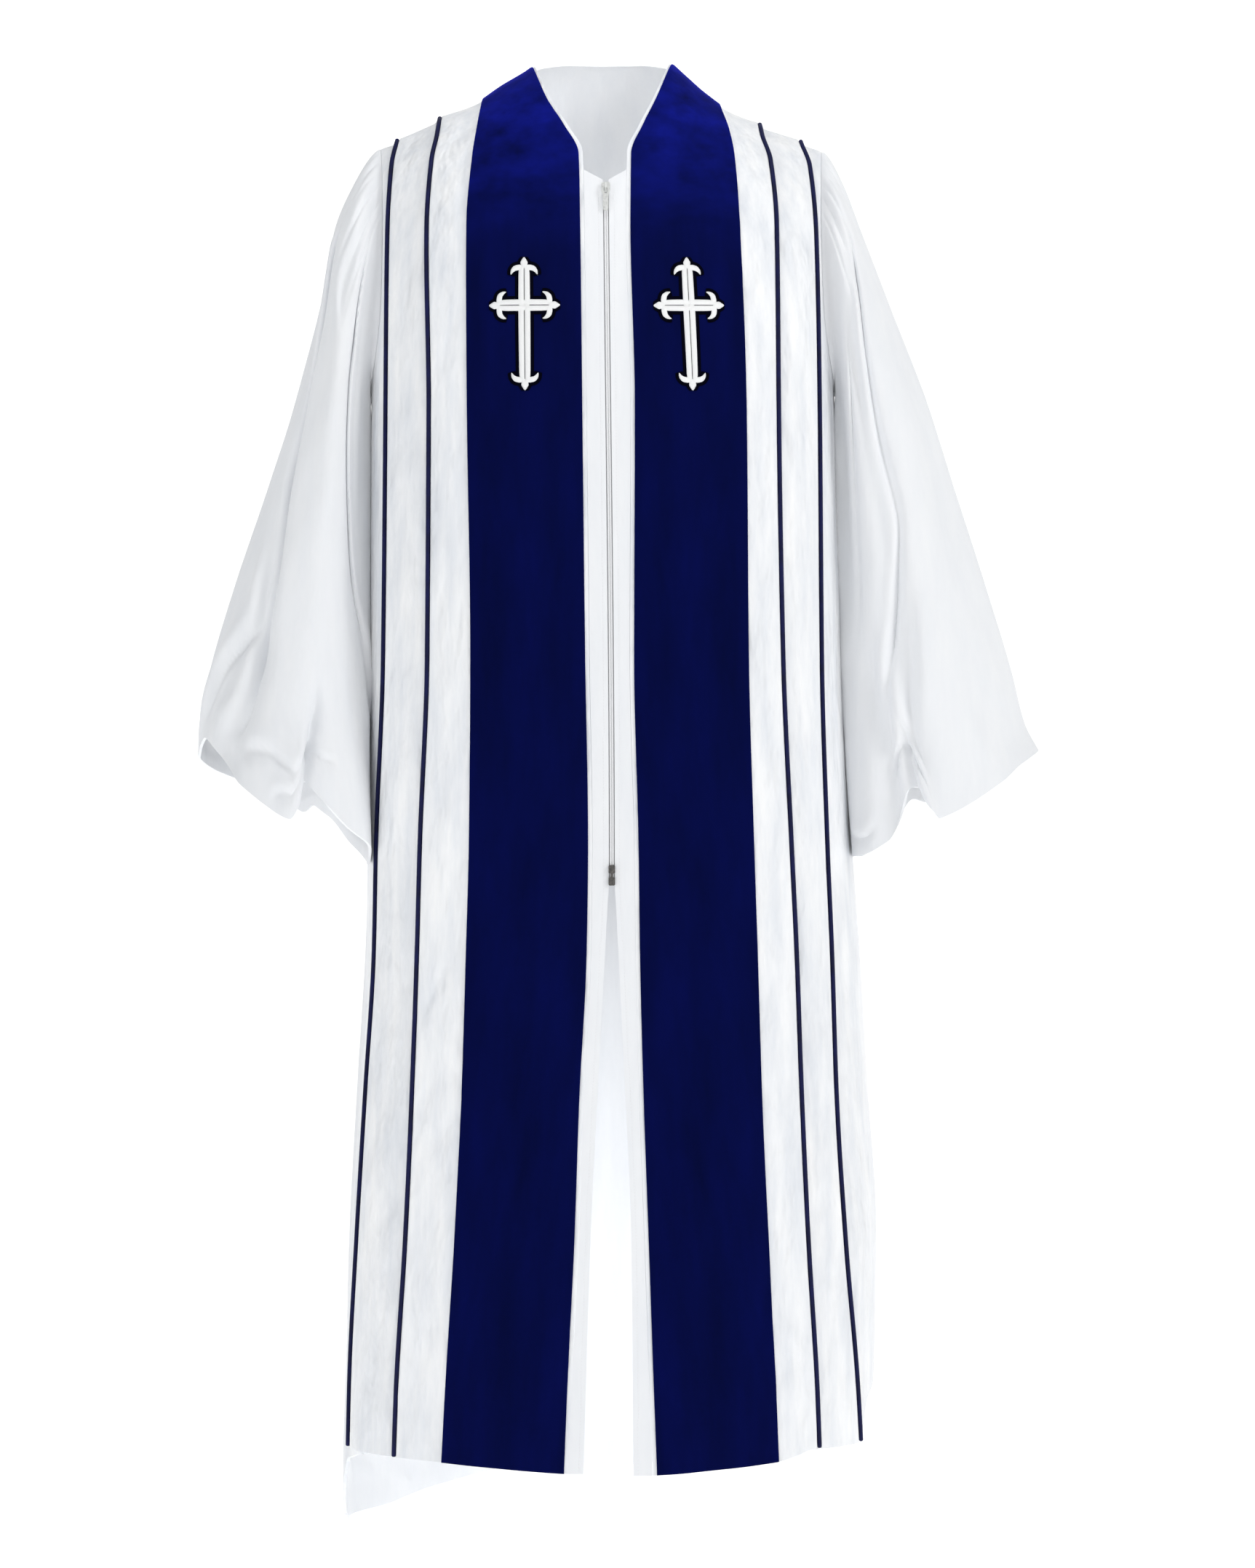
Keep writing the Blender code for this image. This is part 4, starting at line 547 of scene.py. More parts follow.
def read(table, name, at):
    """Smooth value of one named column of a table."""
    columns = np.array(table["rows"]).T
    return smooth(at, columns[0], columns[table["columns"].index(name)])


def pairs(rows, at):
    """Smooth value of a table of two columns."""
    places, values = np.array(rows).T
    return smooth(at, places, values)


def ease(share):
    """Soft step from 0 to 1: 3s^2 - 2s^3."""
    share = np.clip(share, 0.0, 1.0)
    return share * share * (3 - 2 * share)


def unit(vectors):
    """The vectors at length 1."""
    return vectors / np.maximum(np.linalg.norm(vectors, axis=-1, keepdims=True), 1e-12)


def run_of(path):
    """Length along a path from its start to each of its points."""
    return np.concatenate([[0], np.cumsum(np.linalg.norm(np.diff(path, axis=0), axis=-1))])


def between(places, numbers, rows):
    """Points or vectors at places between the numbered rows of an array."""
    return np.stack([np.interp(places, numbers, rows[:, k]) for k in range(3)], axis=-1)


def turns(around):
    """Angles at even steps of a full turn."""
    return 2 * math.pi * np.arange(around) / around


def ripple(u, v, lengths, stretch, seed):
    """Soft uneven waves: a sum of sines of the given lengths across u, each drawn out along v by
    stretch, with its own tilt and start from the seed, and a height in step with its length."""
    draw = np.random.default_rng(seed)
    total = np.zeros(np.broadcast(u, v).shape)
    for length in lengths:
        tilt, start, bend = draw.uniform(-0.6, 0.6), draw.uniform(0, 6.28), draw.uniform(0, 6.28)
        along = v / (length * stretch)
        sway = 0.3 * np.sin(6.28 * along * 0.4 + bend)
        total += length * np.sin(6.28 * (u / length + tilt * along + sway) + start)
    return total / sum(lengths)


# The body's surface


def crease_field(rows, u, v):
    """Heights of single creases: each is a bell across a line, tapered to nothing at its two ends.
    The line starts at (u, v), leans by an angle from the direction of v and has a length."""
    height = np.zeros(np.broadcast(u, v).shape)
    for u0, v0, length, lean, width, size in rows:
        c, s = math.cos(math.radians(lean)), math.sin(math.radians(lean))
        along = ((v - v0) * c + (u - u0) * s) / (length / 2)
        across = ((u - u0) * c - (v - v0) * s) / width
        height += size * np.exp(-across**2) * np.clip(1 - along**2, 0, 1) ** 2
    return height


def front_relief(side, x, drop):
    """Height of the soft waves and creases of a front over its plain form. They fade out at the
    shoulder, at the zip and at the side seam, and grow towards the hem."""
    half = read(SIDES[side][1], "side", drop)
    top = shoulder_drop(side, "front", np.minimum(x, half))
    fade = ease((drop - top) / 0.06) * ease((x - 0.028) / 0.03) * ease((half - x) / 0.05)
    grow = FRONT_WAVE_HEIGHTS[0] + FRONT_WAVE_HEIGHTS[1] * ease((drop - 0.25) / 1.1)
    waves = ripple(x, drop, FRONT_WAVES, 6.0, {"right": 3, "left": 8}[side])
    return fade * (grow * waves + crease_field(FRONT_CREASES[side], x, drop))


def depth_at(side, face, x, drop):
    """Distance of the body's surface from its middle plane: a superellipse across, whose height
    rises from nothing at the shoulder line as (1 - exp(-below / fall)) ^ power."""
    half = read(SIDES[side][1], "side", drop)
    reach = np.clip(np.abs(x) / half, 0.0, 1.0)
    section = (1 - reach**SECTION_POWER) ** (1 / SECTION_POWER)
    fall, power = SHOULDER_FALL[face]
    below = np.clip(read(SIDES[side][2], face, reach) + drop, 0.0, None)
    depth = read(DEPTHS, face, drop) * section * (1 - np.exp(-below / fall)) ** power
    return depth + (front_relief(side, np.abs(x), drop) if face == "front" else 0.0)


def surface(side, face, x, drop):
    """Points of the body's surface, for distances from the middle and drops."""
    y = MIDDLE_Y + OUTWARDS[face] * depth_at(side, face, x, drop)
    return np.stack([SIDES[side][0] * x, y, -drop + 0 * x], axis=-1)


def outward(side, face, x, drop):
    """Unit vectors square to the body's surface, from its slopes along x and the drop."""
    small = 0.0008
    x = np.minimum(x, read(SIDES[side][1], "side", drop) - 2 * small)
    along = depth_at(side, face, x + small, drop) - depth_at(side, face, x - small, drop)
    down = depth_at(side, face, x, drop + small) - depth_at(side, face, x, drop - small)
    slopes = [-SIDES[side][0] * along / (2 * small), OUTWARDS[face] + 0 * x, down / (2 * small)]
    return unit(np.stack(slopes, axis=-1))


def shoulder_drop(side, face, x):
    """Drop of the shoulder line at a distance from the middle."""
    return -read(SIDES[side][2], face, x / read(SIDES[side][1], "side", 0.0))


def ridge_lift(side, face, x):
    """Unit vectors square to the shoulder line, in the seam's plane of X and Z."""
    small = 0.001
    fall = shoulder_drop(side, face, x + small) - shoulder_drop(side, face, x - small)
    return unit(np.stack([SIDES[side][0] * fall / (2 * small), 0 * x, 1 + 0 * x], axis=-1))


def raised_points(side, line, drop, level, top_x):
    """Points at a height over a front's surface that keep their distance from the middle: the
    base is moved in by the height times the sideways lean of the surface, and over the first
    rows the lift turns from square to the shoulder line to square to the surface."""
    turn = 1 - ease(np.arange(drop.shape[0]) / RIDGE_ROWS)[:, None]
    ridge = ridge_lift(side, "front", top_x)
    x = line.copy()
    for _ in range(4):
        lean = np.abs(outward(side, "front", x, drop)[..., 0])
        lean = lean * (1 - turn) + np.abs(ridge[..., 0])[None, :] * turn
        x = line - level * lean
    x[0] = top_x
    lift = unit(outward(side, "front", x, drop) * (1 - turn[..., None]) + ridge[None] * turn[..., None])
    return surface(side, "front", x, drop) + (level + 0 * x)[..., None] * lift


def row_drops(top, hem):
    """Drops of all rows for each column, from its top to its hem: level in between."""
    fade = 1 - np.clip(ROWS / UNDERARM, 0, 1)
    stretch = ease((ROWS - HEM_START) / (ROWS[-1] - HEM_START))
    return ROWS[:, None] + top * fade[:, None] + (hem - ROWS[-1]) * stretch[:, None]


# Meshes from arrays


def grid_quads(rows, columns, closed):
    """Corner numbers of a grid's quads, and of the same quads on its UV grid, which has one more
    column where the last column joins the first."""
    i, j = np.meshgrid(np.arange(rows - 1), np.arange(columns - (not closed)), indexing="ij")
    k, wide = (j + 1) % columns, columns + closed
    corners = np.stack([i * columns + j, (i + 1) * columns + j, (i + 1) * columns + k, i * columns + k], -1)
    uv = np.stack([i * wide + j, (i + 1) * wide + j, (i + 1) * wide + j + 1, i * wide + j + 1], -1)
    return corners.reshape(-1, 4), uv.reshape(-1, 4)


def grid_uv(grid, closed):
    """Lengths along the cloth in metres: across from the first column and down from the top row."""
    wide = np.concatenate([grid, grid[:, :1]], axis=1) if closed else grid
    across = np.linalg.norm(np.diff(wide, axis=1), axis=-1)
    down = np.linalg.norm(np.diff(wide, axis=0), axis=-1)
    u = np.concatenate([np.zeros((len(grid), 1)), np.cumsum(across, axis=1)], axis=1)
    v = np.concatenate([np.zeros((1, wide.shape[1])), np.cumsum(down, axis=0)], axis=0)
    return np.stack([u, v], axis=-1).reshape(-1, 2)


def object_from(name, points, quads, uv, material, merge=False, angle=50):
    """An object at the origin from points, four-cornered faces and a UV pair for each corner, which
    rides on the robe. The faces are turned so that the volume they close is positive."""
    a, b, c, d = (points[quads[:, k]] for k in range(4))
    volume = np.sum(np.cross(a, b) * c) + np.sum(np.cross(a, c) * d)
    if volume < 0:
        quads, uv = quads[:, ::-1], uv[:, ::-1]
    data = bpy.data.meshes.new(name)
    data.vertices.add(len(points))
    data.vertices.foreach_set("co", points.astype(np.float32).ravel())
    data.loops.add(quads.size)
    data.loops.foreach_set("vertex_index", quads.astype(np.int32).ravel())
    data.polygons.add(len(quads))
    data.polygons.foreach_set("loop_start", np.arange(0, quads.size, 4, dtype=np.int32))
    data.update(calc_edges=True)
    layer = data.uv_layers.new(name="cloth")
    layer.data.foreach_set("uv", uv.astype(np.float32).ravel())
    if merge:
        builder = bmesh.new()
        builder.from_mesh(data)
        bmesh.ops.remove_doubles(builder, verts=builder.verts, dist=1e-6)
        builder.to_mesh(data)
        builder.free()
    data.shade_smooth()
    data.set_sharp_from_angle(angle=math.radians(angle))
    data.materials.append(material)
    piece = bpy.data.objects.new(name, data)
    bpy.context.scene.collection.objects.link(piece)
    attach(piece, "robe")
    return piece


def normals_of(grid, closed=False):
    """Unit vectors square to a grid: the slope down it crossed with the slope across it."""
    if closed:
        wide = np.concatenate([grid[:, -1:], grid, grid[:, :1]], axis=1)
        across = (wide[:, 2:] - wide[:, :-2]) / 2
    else:
        across = np.gradient(grid, axis=1)
    return unit(np.cross(np.gradient(grid, axis=0), across))


def shell(name, grid, normals, over, under, material, closed=False, angle=50):
    """A closed cloth wall: the grid moved out by over, the same grid moved in by under, and a rim
    of quads that joins the two along each open edge."""
    rows, columns = grid.shape[:2]
    over, under = np.broadcast_to(over, (rows, columns)), np.broadcast_to(under, (rows, columns))
    outer = grid + over[..., None] * normals
    inner = grid - under[..., None] * normals
    count = rows * columns
    quads, uv_quads = grid_quads(rows, columns, closed)
    uv = grid_uv(grid, closed)
    number = np.arange(count).reshape(rows, columns)
    rims = []
    for line, way in ((number[0], 1), (number[-1], -1)):
        line = np.append(line, line[0]) if closed else line
        rims.append(rim(line, way, count))
    if not closed:
        rims += [rim(number[:, 0], -1, count), rim(number[:, -1], 1, count)]
    rims = np.concatenate(rims)
    wide = columns + closed
    spots = uv.reshape(rows, wide, 2)[:, :columns].reshape(-1, 2)
    faces = np.concatenate([quads, quads[:, ::-1] + count, rims])
    corners = np.concatenate([uv[uv_quads], uv[uv_quads[:, ::-1]], spots[rims % count]])
    points = np.concatenate([outer.reshape(-1, 3), inner.reshape(-1, 3)])
    return object_from(name, points, faces, corners, material, angle=angle)


def rim(line, way, count):
    """Quads between the outer and the inner copy of a row of points."""
    quads = np.stack([line[:-1], line[1:], line[1:] + count, line[:-1] + count], axis=-1)
    return quads[:, ::way]


def tube(path, lift, radius, around):
    """Rings of a round cord along a path: at each point a circle in the plane of the lift and of
    the path's direction crossed with it, shrunk to a point over a rounded end."""
    ahead = unit(np.gradient(path, axis=0))
    aside = unit(np.cross(ahead, lift))
    up = np.cross(aside, ahead)
    turn = turns(around)
    circle = np.cos(turn)[:, None] * aside[:, None] + np.sin(turn)[:, None] * up[:, None]
    radius = np.broadcast_to(radius, len(path))[:, None, None]
    return path[:, None] + radius * circle


def rounded_ends(path, radius):
    """A path with two points added at each end, and radii that shrink there to a point."""
    ahead = unit(path[1] - path[0])
    behind = unit(path[-1] - path[-2])
    start = [path[0], path[0] + ahead * radius * 0.15, path[0] + ahead * radius * 0.6]
    end = [path[-1] - behind * radius * 0.6, path[-1] - behind * radius * 0.15, path[-1]]
    sizes = np.full(len(path) + 4, radius)
    sizes[[0, 1, 2, -3, -2, -1]] = np.array([0.001, 0.7, 0.97, 0.97, 0.7, 0.001]) * radius
    return np.concatenate([start, path[1:-1], end]), sizes


def cord_rings(path, lift, radius, around):
    """Rings of a round cord with rounded ends."""
    path, sizes = rounded_ends(path, radius)
    lift = np.concatenate([lift[:1].repeat(3, 0), lift[1:-1], lift[-1:].repeat(3, 0)])
    return tube(path, lift, sizes, around)


def joined(name, ring_sets, material, angle=60):
    """One mesh of closed forms, each from rings whose first and last shrink to a point."""
    points, quads, uv, start = [], [], [], 0
    for rings in ring_sets:
        rows, columns = rings.shape[:2]
        corners, uv_corners = grid_quads(rows, columns, True)
        points.append(rings.reshape(-1, 3))
        quads.append(corners + start)
        uv.append(grid_uv(rings, True)[uv_corners])
        start += rows * columns
    parts = [np.concatenate(part) for part in (points, quads, uv)]
    return object_from(name, *parts, material, merge=True, angle=angle)


# Fronts


def fine_profile():
    """Cross-section of a front. Between two named columns the lines' weights, the shift and the
    level run evenly. Where the level changes by one layer they follow half a circle one layer
    wide: beyond the fold of a flute, or back beneath it."""
    weights, shifts, levels, places = [], [], [], []
    for j, (here, after) in enumerate(zip(FRONT_COLUMNS, FRONT_COLUMNS[1:])):
        _, first, second, share, shift, level, steps = here
        _, first_b, second_b, share_b, shift_b, level_b, _ = after
        t = np.arange(steps) / steps
        start, end = line_weights(first, second, share), line_weights(first_b, second_b, share_b)
        weights.append((1 - t)[:, None] * start + t[:, None] * end)
        if level == level_b:
            shifts.append(shift + (shift_b - shift) * t)
            levels.append(level + 0 * t)
        else:
            way = 1.0 if here[0].endswith("fold") else -1.0
            shifts.append(shift + way * LAYER / 2 * np.sin(math.pi * t))
            levels.append(level - (1 - np.cos(math.pi * t)) / 2)
        places.append(j + t)
    last = FRONT_COLUMNS[-1]
    weights.append(line_weights(*last[1:4])[None])
    shifts.append([last[4]])
    levels.append([last[5]])
    places.append([len(FRONT_COLUMNS) - 1.0])
    return [np.concatenate(part) for part in (weights, shifts, levels, places)]


def line_weights(first, second, share):
    """Weights of the four drawn lines for a column between two of them."""
    weights = np.zeros(len(LINE_NAMES))
    weights[LINE_NAMES.index(first)] += 1 - share
    weights[LINE_NAMES.index(second)] += share
    return weights


def weighted_line(side, weights, shifts, drop):
    """Distances from the middle of columns at their drops: the weighted lines plus the shift."""
    lines = SIDES[side][1]
    total = shifts + 0 * drop
    for k, name in enumerate(LINE_NAMES):
        total = total + weights[:, k] * read(lines, name, drop)
    return total


def top_places(side, weights, shifts, height):
    """Distances from the middle at which raised columns' bases meet the shoulder line, found by
    stepping twelve times between the line at a drop and the drop of the shoulder there."""
    x = weighted_line(side, weights, shifts, np.zeros(len(shifts)))
    for _ in range(12):
        drop = shoulder_drop(side, "front", x)
        lean = np.abs(ridge_lift(side, "front", x)[:, 0])
        x = weighted_line(side, weights, shifts, drop) - height * lean
    return x


def side_edge(side, face, drop):
    """Distance from the middle of the armhole's edge, and below it of the side seam."""
    inset = read(ARMHOLE, face + "_inset", drop)
    return read(SIDES[side][1], "side", drop) - np.where(drop < UNDERARM, inset, 0.0)


def front_grid(side):
    """Points of a front on the fine grid, and the drops of its rows and columns."""
    weights, shifts, levels, places = fine_profile()
    named = len(places)
    shares = np.arange(1, SIDE_STEPS + 1) / SIDE_STEPS
    starts = top_places(side, weights, shifts, levels * LAYER)
    arm_top = float(side_edge(side, "front", np.array(ARMHOLE_TOP)))
    start_x = np.concatenate([starts, starts[-1] + (arm_top - starts[-1]) * shares])
    index = np.concatenate([places, places[-1] + SIDE_COLUMNS * shares])
    names = [column[0] for column in FRONT_COLUMNS] + ["side_%d" % k for k in range(1, SIDE_COLUMNS + 1)]
    hem_places = [names.index(name) for name, _ in HEMS["front_" + side]]
    hem = smooth(index, hem_places, [value for _, value in HEMS["front_" + side]])
    drops = row_drops(shoulder_drop(side, "front", start_x), hem)

    line = weighted_line(side, weights, shifts, drops[:, :named])
    flutes = raised_points(side, line, drops[:, :named], levels * LAYER, starts)
    bed, down = line[:, -1:], drops[:, named:]
    half = read(SIDES[side][1], "side", down)
    start = np.arcsin(np.clip(bed / half, 0, 1) ** (SECTION_POWER / 2))
    end = np.arcsin(np.clip(side_edge(side, "front", down) / half, 0, 1) ** (SECTION_POWER / 2))
    x = half * np.sin(start + (end - start) * shares) ** (2 / SECTION_POWER)
    points = np.concatenate([flutes, surface(side, "front", x, down)], axis=1)
    points[0, :, 1] = MIDDLE_Y - GAP / 2
    points[ARMHOLE_ROWS:, -1, 1] = MIDDLE_Y - GAP / 2
    return points, drops, index


def flat(vectors):
    """The same vectors laid into the plane of X and Z, at length 1."""
    return unit(vectors * np.array([1.0, 0.0, 1.0]))


def hem_extra(grid, depth=0.019, turn=0.0016):
    """Extra thickness inside, where the cloth is turned up at the hem: nothing above the turn, and
    one more cloth below it after a step as long as turn."""
    down = np.linalg.norm(np.diff(grid, axis=0), axis=-1)
    left = np.concatenate([np.cumsum(down[::-1], axis=0)[::-1], np.zeros((1, grid.shape[1]))])
    return CLOTH * ease((depth - left) / turn)


def make_front(side):
    """A front's cloth, with the doubled hem inside, and what the other pieces need from it."""
    grid, drops, index = front_grid(side)
    normals = normals_of(grid) * SIDES[side][0]
    normals[0] = flat(normals[0])
    normals[ARMHOLE_ROWS:, -1] = flat(normals[ARMHOLE_ROWS:, -1])
    under = CLOTH / 2 + hem_extra(grid)
    piece = shell(side + "_front", grid, normals, CLOTH / 2, under, SATIN_CREPE)
    return piece, grid, normals, drops, index


def make_band(side, grid, normals, index):
    """Velvet band on a front: the front's own columns from its centre edge to the band's edge,
    raised by both half thicknesses and a gap. Its edges roll over as a quarter circle."""
    last = int(np.searchsorted(index, BAND_EDGE_COLUMN)) + 1
    band, lift = grid[:, :last].copy(), normals[:, :last]
    step = np.linalg.norm(band[:, 1] - band[:, 0], axis=-1, keepdims=True)
    band[:, 0] += (band[:, 1] - band[:, 0]) * np.minimum(VELVET_SET_BACK / step, 0.9)
    wide = finer_edges(band, EDGE_ROLL)
    lift = finer_edges(lift, EDGE_ROLL)
    middle = wide + lift * (CLOTH / 2 + GAP + VELVET / 2)
    roll = np.sqrt(1 - (1 - np.clip(edge_distance(middle) / ROLL_RADIUS, 0, 1)) ** 2)
    over = VELVET * (0.9 * roll - 0.4)
    return shell(side + "_velvet", middle, unit(lift), over, VELVET / 2, VELVET_PILE, angle=70)


def finer_edges(grid, shares):
    """A grid with columns added inside its first and its last step, at the given shares."""
    shares = np.asarray(shares)[None, :, None]
    first = grid[:, :1] + (grid[:, 1:2] - grid[:, :1]) * shares
    last = grid[:, -1:] + (grid[:, -2:-1] - grid[:, -1:]) * shares[:, ::-1]
    return np.concatenate([grid[:, :1], first, grid[:, 1:-1], last, grid[:, -1:]], axis=1)


def edge_distance(grid):
    """Distance of each point from the nearer of a strip's two long edges, along its row."""
    along = np.linalg.norm(np.diff(grid, axis=1), axis=-1)
    start = np.concatenate([np.zeros((len(grid), 1)), np.cumsum(along, axis=1)], axis=1)
    return np.minimum(start, start[:, -1:] - start)


def piping_line(side, number, drops, index):
    """Middle line of a piping and its lifts: beside the fold of its flute, one radius over the
    layer below."""
    name = "piping_" + number
    level = {"1": 2, "2": 0}[number]
    column = int(np.searchsorted(index, {"1": FLUTE_1_FOLD_COLUMN, "2": FLUTE_2_FOLD_COLUMN}[number]))
    down = drops[:, column:column + 1]
    height = level * LAYER + CLOTH / 2 + GAP + PIPING_RADIUS
    weights, shifts = line_weights(name, name, 0.0)[None], np.zeros(1)
    top = top_places(side, weights, shifts, height)
    path = raised_points(side, weighted_line(side, weights, shifts, down), down, height, top)[:, 0]
    path[0, 1] = MIDDLE_Y - PIPING_END
    lift = outward(side, "front", np.abs(path[:, 0]), down[:, 0])
    return path, lift


def make_piping(side, number, drops, index):
    """Round cord in a satin cover: circles along the piping's line, rounded off at both ends."""
    rings = cord_rings(*piping_line(side, number, drops, index), PIPING_RADIUS + PIPING_SATIN, PIPING_AROUND)
    return joined("%s_piping_%s" % (side, number), [rings], SATIN_CORD, angle=50)


# Zip and plackets


def front_middle(x, drop, level):
    """Points between the two bands, x to the wearer's left, raised to a level: the right and the
    left surface blended across 60 mm, and moved out in the plane of Y and Z."""
    share = ease((x + 0.03) / 0.06)[..., None]
    depth, lift = 0.0, 0.0
    for side, part in (("right", 1 - share), ("left", share)):
        depth = depth + part * surface(side, "front", np.abs(x), drop)
        lift = lift + part * outward(side, "front", np.abs(x) + 0.001, drop) * np.array([0, 1, 1])
    points = depth + level * unit(lift)
    points[..., 0] = x
    return points


def placket_rows(hem):
    """Drops of a placket's rows, stretched to its hem as the fronts' rows are."""
    drops = PLACKET_TOP["inner"] + (ROWS[-1] - PLACKET_TOP["inner"]) * np.linspace(0, 1, PLACKET_GRID[0])
    stretch = ease((drops - HEM_START) / (ROWS[-1] - HEM_START))
    return drops + (hem - ROWS[-1]) * stretch


def placket_x(side, drops, share):
    """Distance to the wearer's left at a share of the way from a front's edge to the zip's chain,
    and below the zip to the slit's edge."""
    sign, lines, _ = SIDES[side]
    outer = sign * (read(lines, "edge", drops) - EDGE_PAST_VELVET - GAP)
    zip_edge = pairs(ZIP_LINE, drops) + sign * (CHAIN_HALF_WIDTH + 2 * GAP)
    opening = ease((drops - SLIT["rows"][0][0]) / 0.012)
    inner = zip_edge * (1 - opening) + read(SLIT, side + "_edge", drops) * opening
    return outer + (inner - outer) * share


def make_placket(side):
    """White strip beside the zip and the slit, with a pressed groove where it is sewn down."""
    hem = HEMS["front_" + side][0][1]
    drops = placket_rows(hem)[:, None]
    shares = np.linspace(0, 1, PLACKET_GRID[1])[None, :]
    x = placket_x(side, drops, shares)
    top = PLACKET_TOP["outer"] + (PLACKET_TOP["inner"] - PLACKET_TOP["outer"]) * shares
    down = np.where(np.arange(len(drops))[:, None] == 0, top, drops + 0 * shares)
    grid = front_middle(x, down, INNER_FLUTE_LEVEL)
    normals = normals_of(grid) * -SIDES[side][0]
    normals *= np.sign(-normals[..., 1:2])
    inside = np.linalg.norm(grid - grid[:, -1:], axis=-1)
    groove = GROOVE_DEPTH * np.exp(-(((inside - STITCH_FROM_ZIP) / GROOVE_WIDTH) ** 2))
    piece = shell(side + "_placket", grid, normals, CLOTH / 2 - groove, CLOTH / 2, CREPE)
    return piece, grid, normals


def make_seam(side, grid, normals):
    """Stitches along a placket, in its groove, from its fourth row on."""
    inside = np.linalg.norm(grid - grid[:, -1:], axis=-1)
    column = np.argmin(np.abs(inside - STITCH_FROM_ZIP), axis=1)
    rows = np.arange(len(column))
    lift = normals[rows, column]
    line = grid[rows, column] + lift * (CLOTH / 2 - 0.0001)
    return stitch_row(side + "_zip_stitches", line[3:], lift[3:], SEWING_THREAD)


def strip_grid(drops, from_x, to_x, level, columns):
    """Grid of a strip along the zip's middle line, between two distances to the wearer's left."""
    x = pairs(ZIP_LINE, drops)[:, None] + np.linspace(from_x, to_x, columns)[None, :]
    return front_middle(x, np.repeat(drops[:, None], columns, axis=1), level)


def make_tape(side):
    """Woven tape behind the coil, from its middle line outwards."""
    sign = SIDES[side][0]
    drops = np.linspace(TAPE_TOP, TAPE_END, TAPE_GRID[0])
    grid = strip_grid(drops, sign * GAP / 2, sign * TAPE_WIDTH, TAPE_LEVEL, TAPE_GRID[1])
    normals = normals_of(grid)
    normals *= np.sign(-normals[..., 1:2])
    return shell(side + "_zip_tape", grid, normals, TAPE / 2, TAPE / 2, TWILL_TAPE)


def pill(length, width, height, around, along):
    """Rings of a small rounded bar along X: circles shrunk to a point at both ends as an
    ellipse's sections, flattened to its width and height."""
    t = np.linspace(-1, 1, along)
    size = np.sqrt(np.clip(1 - np.abs(t) ** 3.2, 0.0, 1.0))
    turn = turns(around)
    x = (t * length / 2)[:, None] + 0 * turn
    y = size[:, None] * np.cos(turn) * width / 2
    z = size[:, None] * np.sin(turn) * height / 2
    return np.stack([x, y, z], axis=-1)


def repeated(name, rings, places, frames, material):
    """One mesh of many small closed forms: the rings turned by each frame and set at its place."""
    rows, columns = rings.shape[:2]
    flat_rings = rings.reshape(-1, 3)
    points = np.einsum("nij,mj->nmi", frames, flat_rings) + places[:, None]
    quads, uv_quads = grid_quads(rows, columns, True)
    start = np.arange(len(places))[:, None, None] * len(flat_rings)
    uv = np.tile(grid_uv(rings, True)[uv_quads], (len(places), 1, 1))
    quads = (quads[None] + start).reshape(-1, 4)
    return object_from(name, points.reshape(-1, 3), quads, uv, material, merge=True)


def path_frames(path, lift):
    """For points along a path: matrices whose columns run along it, across it and out."""
    ahead = unit(np.gradient(path, axis=0))
    aside = unit(np.cross(lift, ahead))
    return np.stack([ahead, aside, np.cross(ahead, aside)], axis=-1)


def even_points(path, pitch):
    """Places every pitch along a path, with the numbers of the steps they lie in."""
    run = run_of(path)
    at = np.arange(pitch / 2, run[-1], pitch)
    return between(at, run, path), np.interp(at, run, np.arange(len(path)))


def stitch_row(name, path, lift, material):
    """A seam's thread on the face of the cloth: a small pill for each stitch, half sunk in."""
    places, at = even_points(path, STITCH_PITCH)
    lifts = unit(between(at, np.arange(len(path)), lift))
    stitch = pill(STITCH_PITCH * 0.72, 0.0005, 0.00036, 6, 4)
    return repeated(name, stitch, places, path_frames(places, lifts), material)


def make_coil():
    """Closed coil: at every pitch a pill from each side that reaches past the middle, the two rows half a
    pitch apart, so the chain shows a zigzag seam. In each row the filler cord, a round tube along the coil,
    closes the gaps between the pills."""
    drops = np.linspace(CHAIN_TOP + COIL_INSET, CHAIN_END - COIL_INSET, COIL_STEPS)
    path = front_middle(pairs(ZIP_LINE, drops), drops, CHAIN_LEVEL)
    up = -unit(np.gradient(path, axis=0))
    across = np.array([1.0, 0.0, 0.0]) + 0 * up
    lift = unit(np.cross(across, up))
    turned = np.stack([across, up, lift], axis=-1)
    length = CHAIN_HALF_WIDTH + TOOTH_OVERLAP
    run, number = run_of(path), np.arange(len(path))
    places, frames, cords = [], [], []
    for sign, start in ((-1.0, 0.25), (1.0, 0.75)):
        at = np.interp(np.arange(start * COIL_PITCH, run[-1], COIL_PITCH), run, number)
        places.append(between(at, number, path) + sign * (CHAIN_HALF_WIDTH - length / 2) * across[:1])
        frames.append(turned[np.round(at).astype(int)])
        cord = path + sign * CHAIN_HALF_WIDTH / 2 * across[:1] - lift * 0.0001
        cords.append(cord_rings(cord, lift, FILLER_RADIUS, FILLER_AROUND))
    teeth = pill(length, TOOTH_WIDTH, CHAIN_THICKNESS * 0.8, TOOTH_AROUND, 5)
    coil = repeated("coil_teeth", teeth, np.concatenate(places), np.concatenate(frames), COIL_NYLON)
    return coil, joined("coil_cords", cords, SEWING_THREAD)


# Back


def even_reaches(count):
    """Shares of the half width at equal steps around the back, by the arc of a middle section."""
    angle = np.linspace(0, math.pi / 2, 400)
    x = 0.25 * np.sin(angle) ** (2 / SECTION_POWER)
    y = 0.15 * np.cos(angle) ** (2 / SECTION_POWER)
    arc = run_of(np.stack([x, y], axis=-1))
    return np.interp(np.linspace(0, arc[-1], count), arc, x / 0.25)


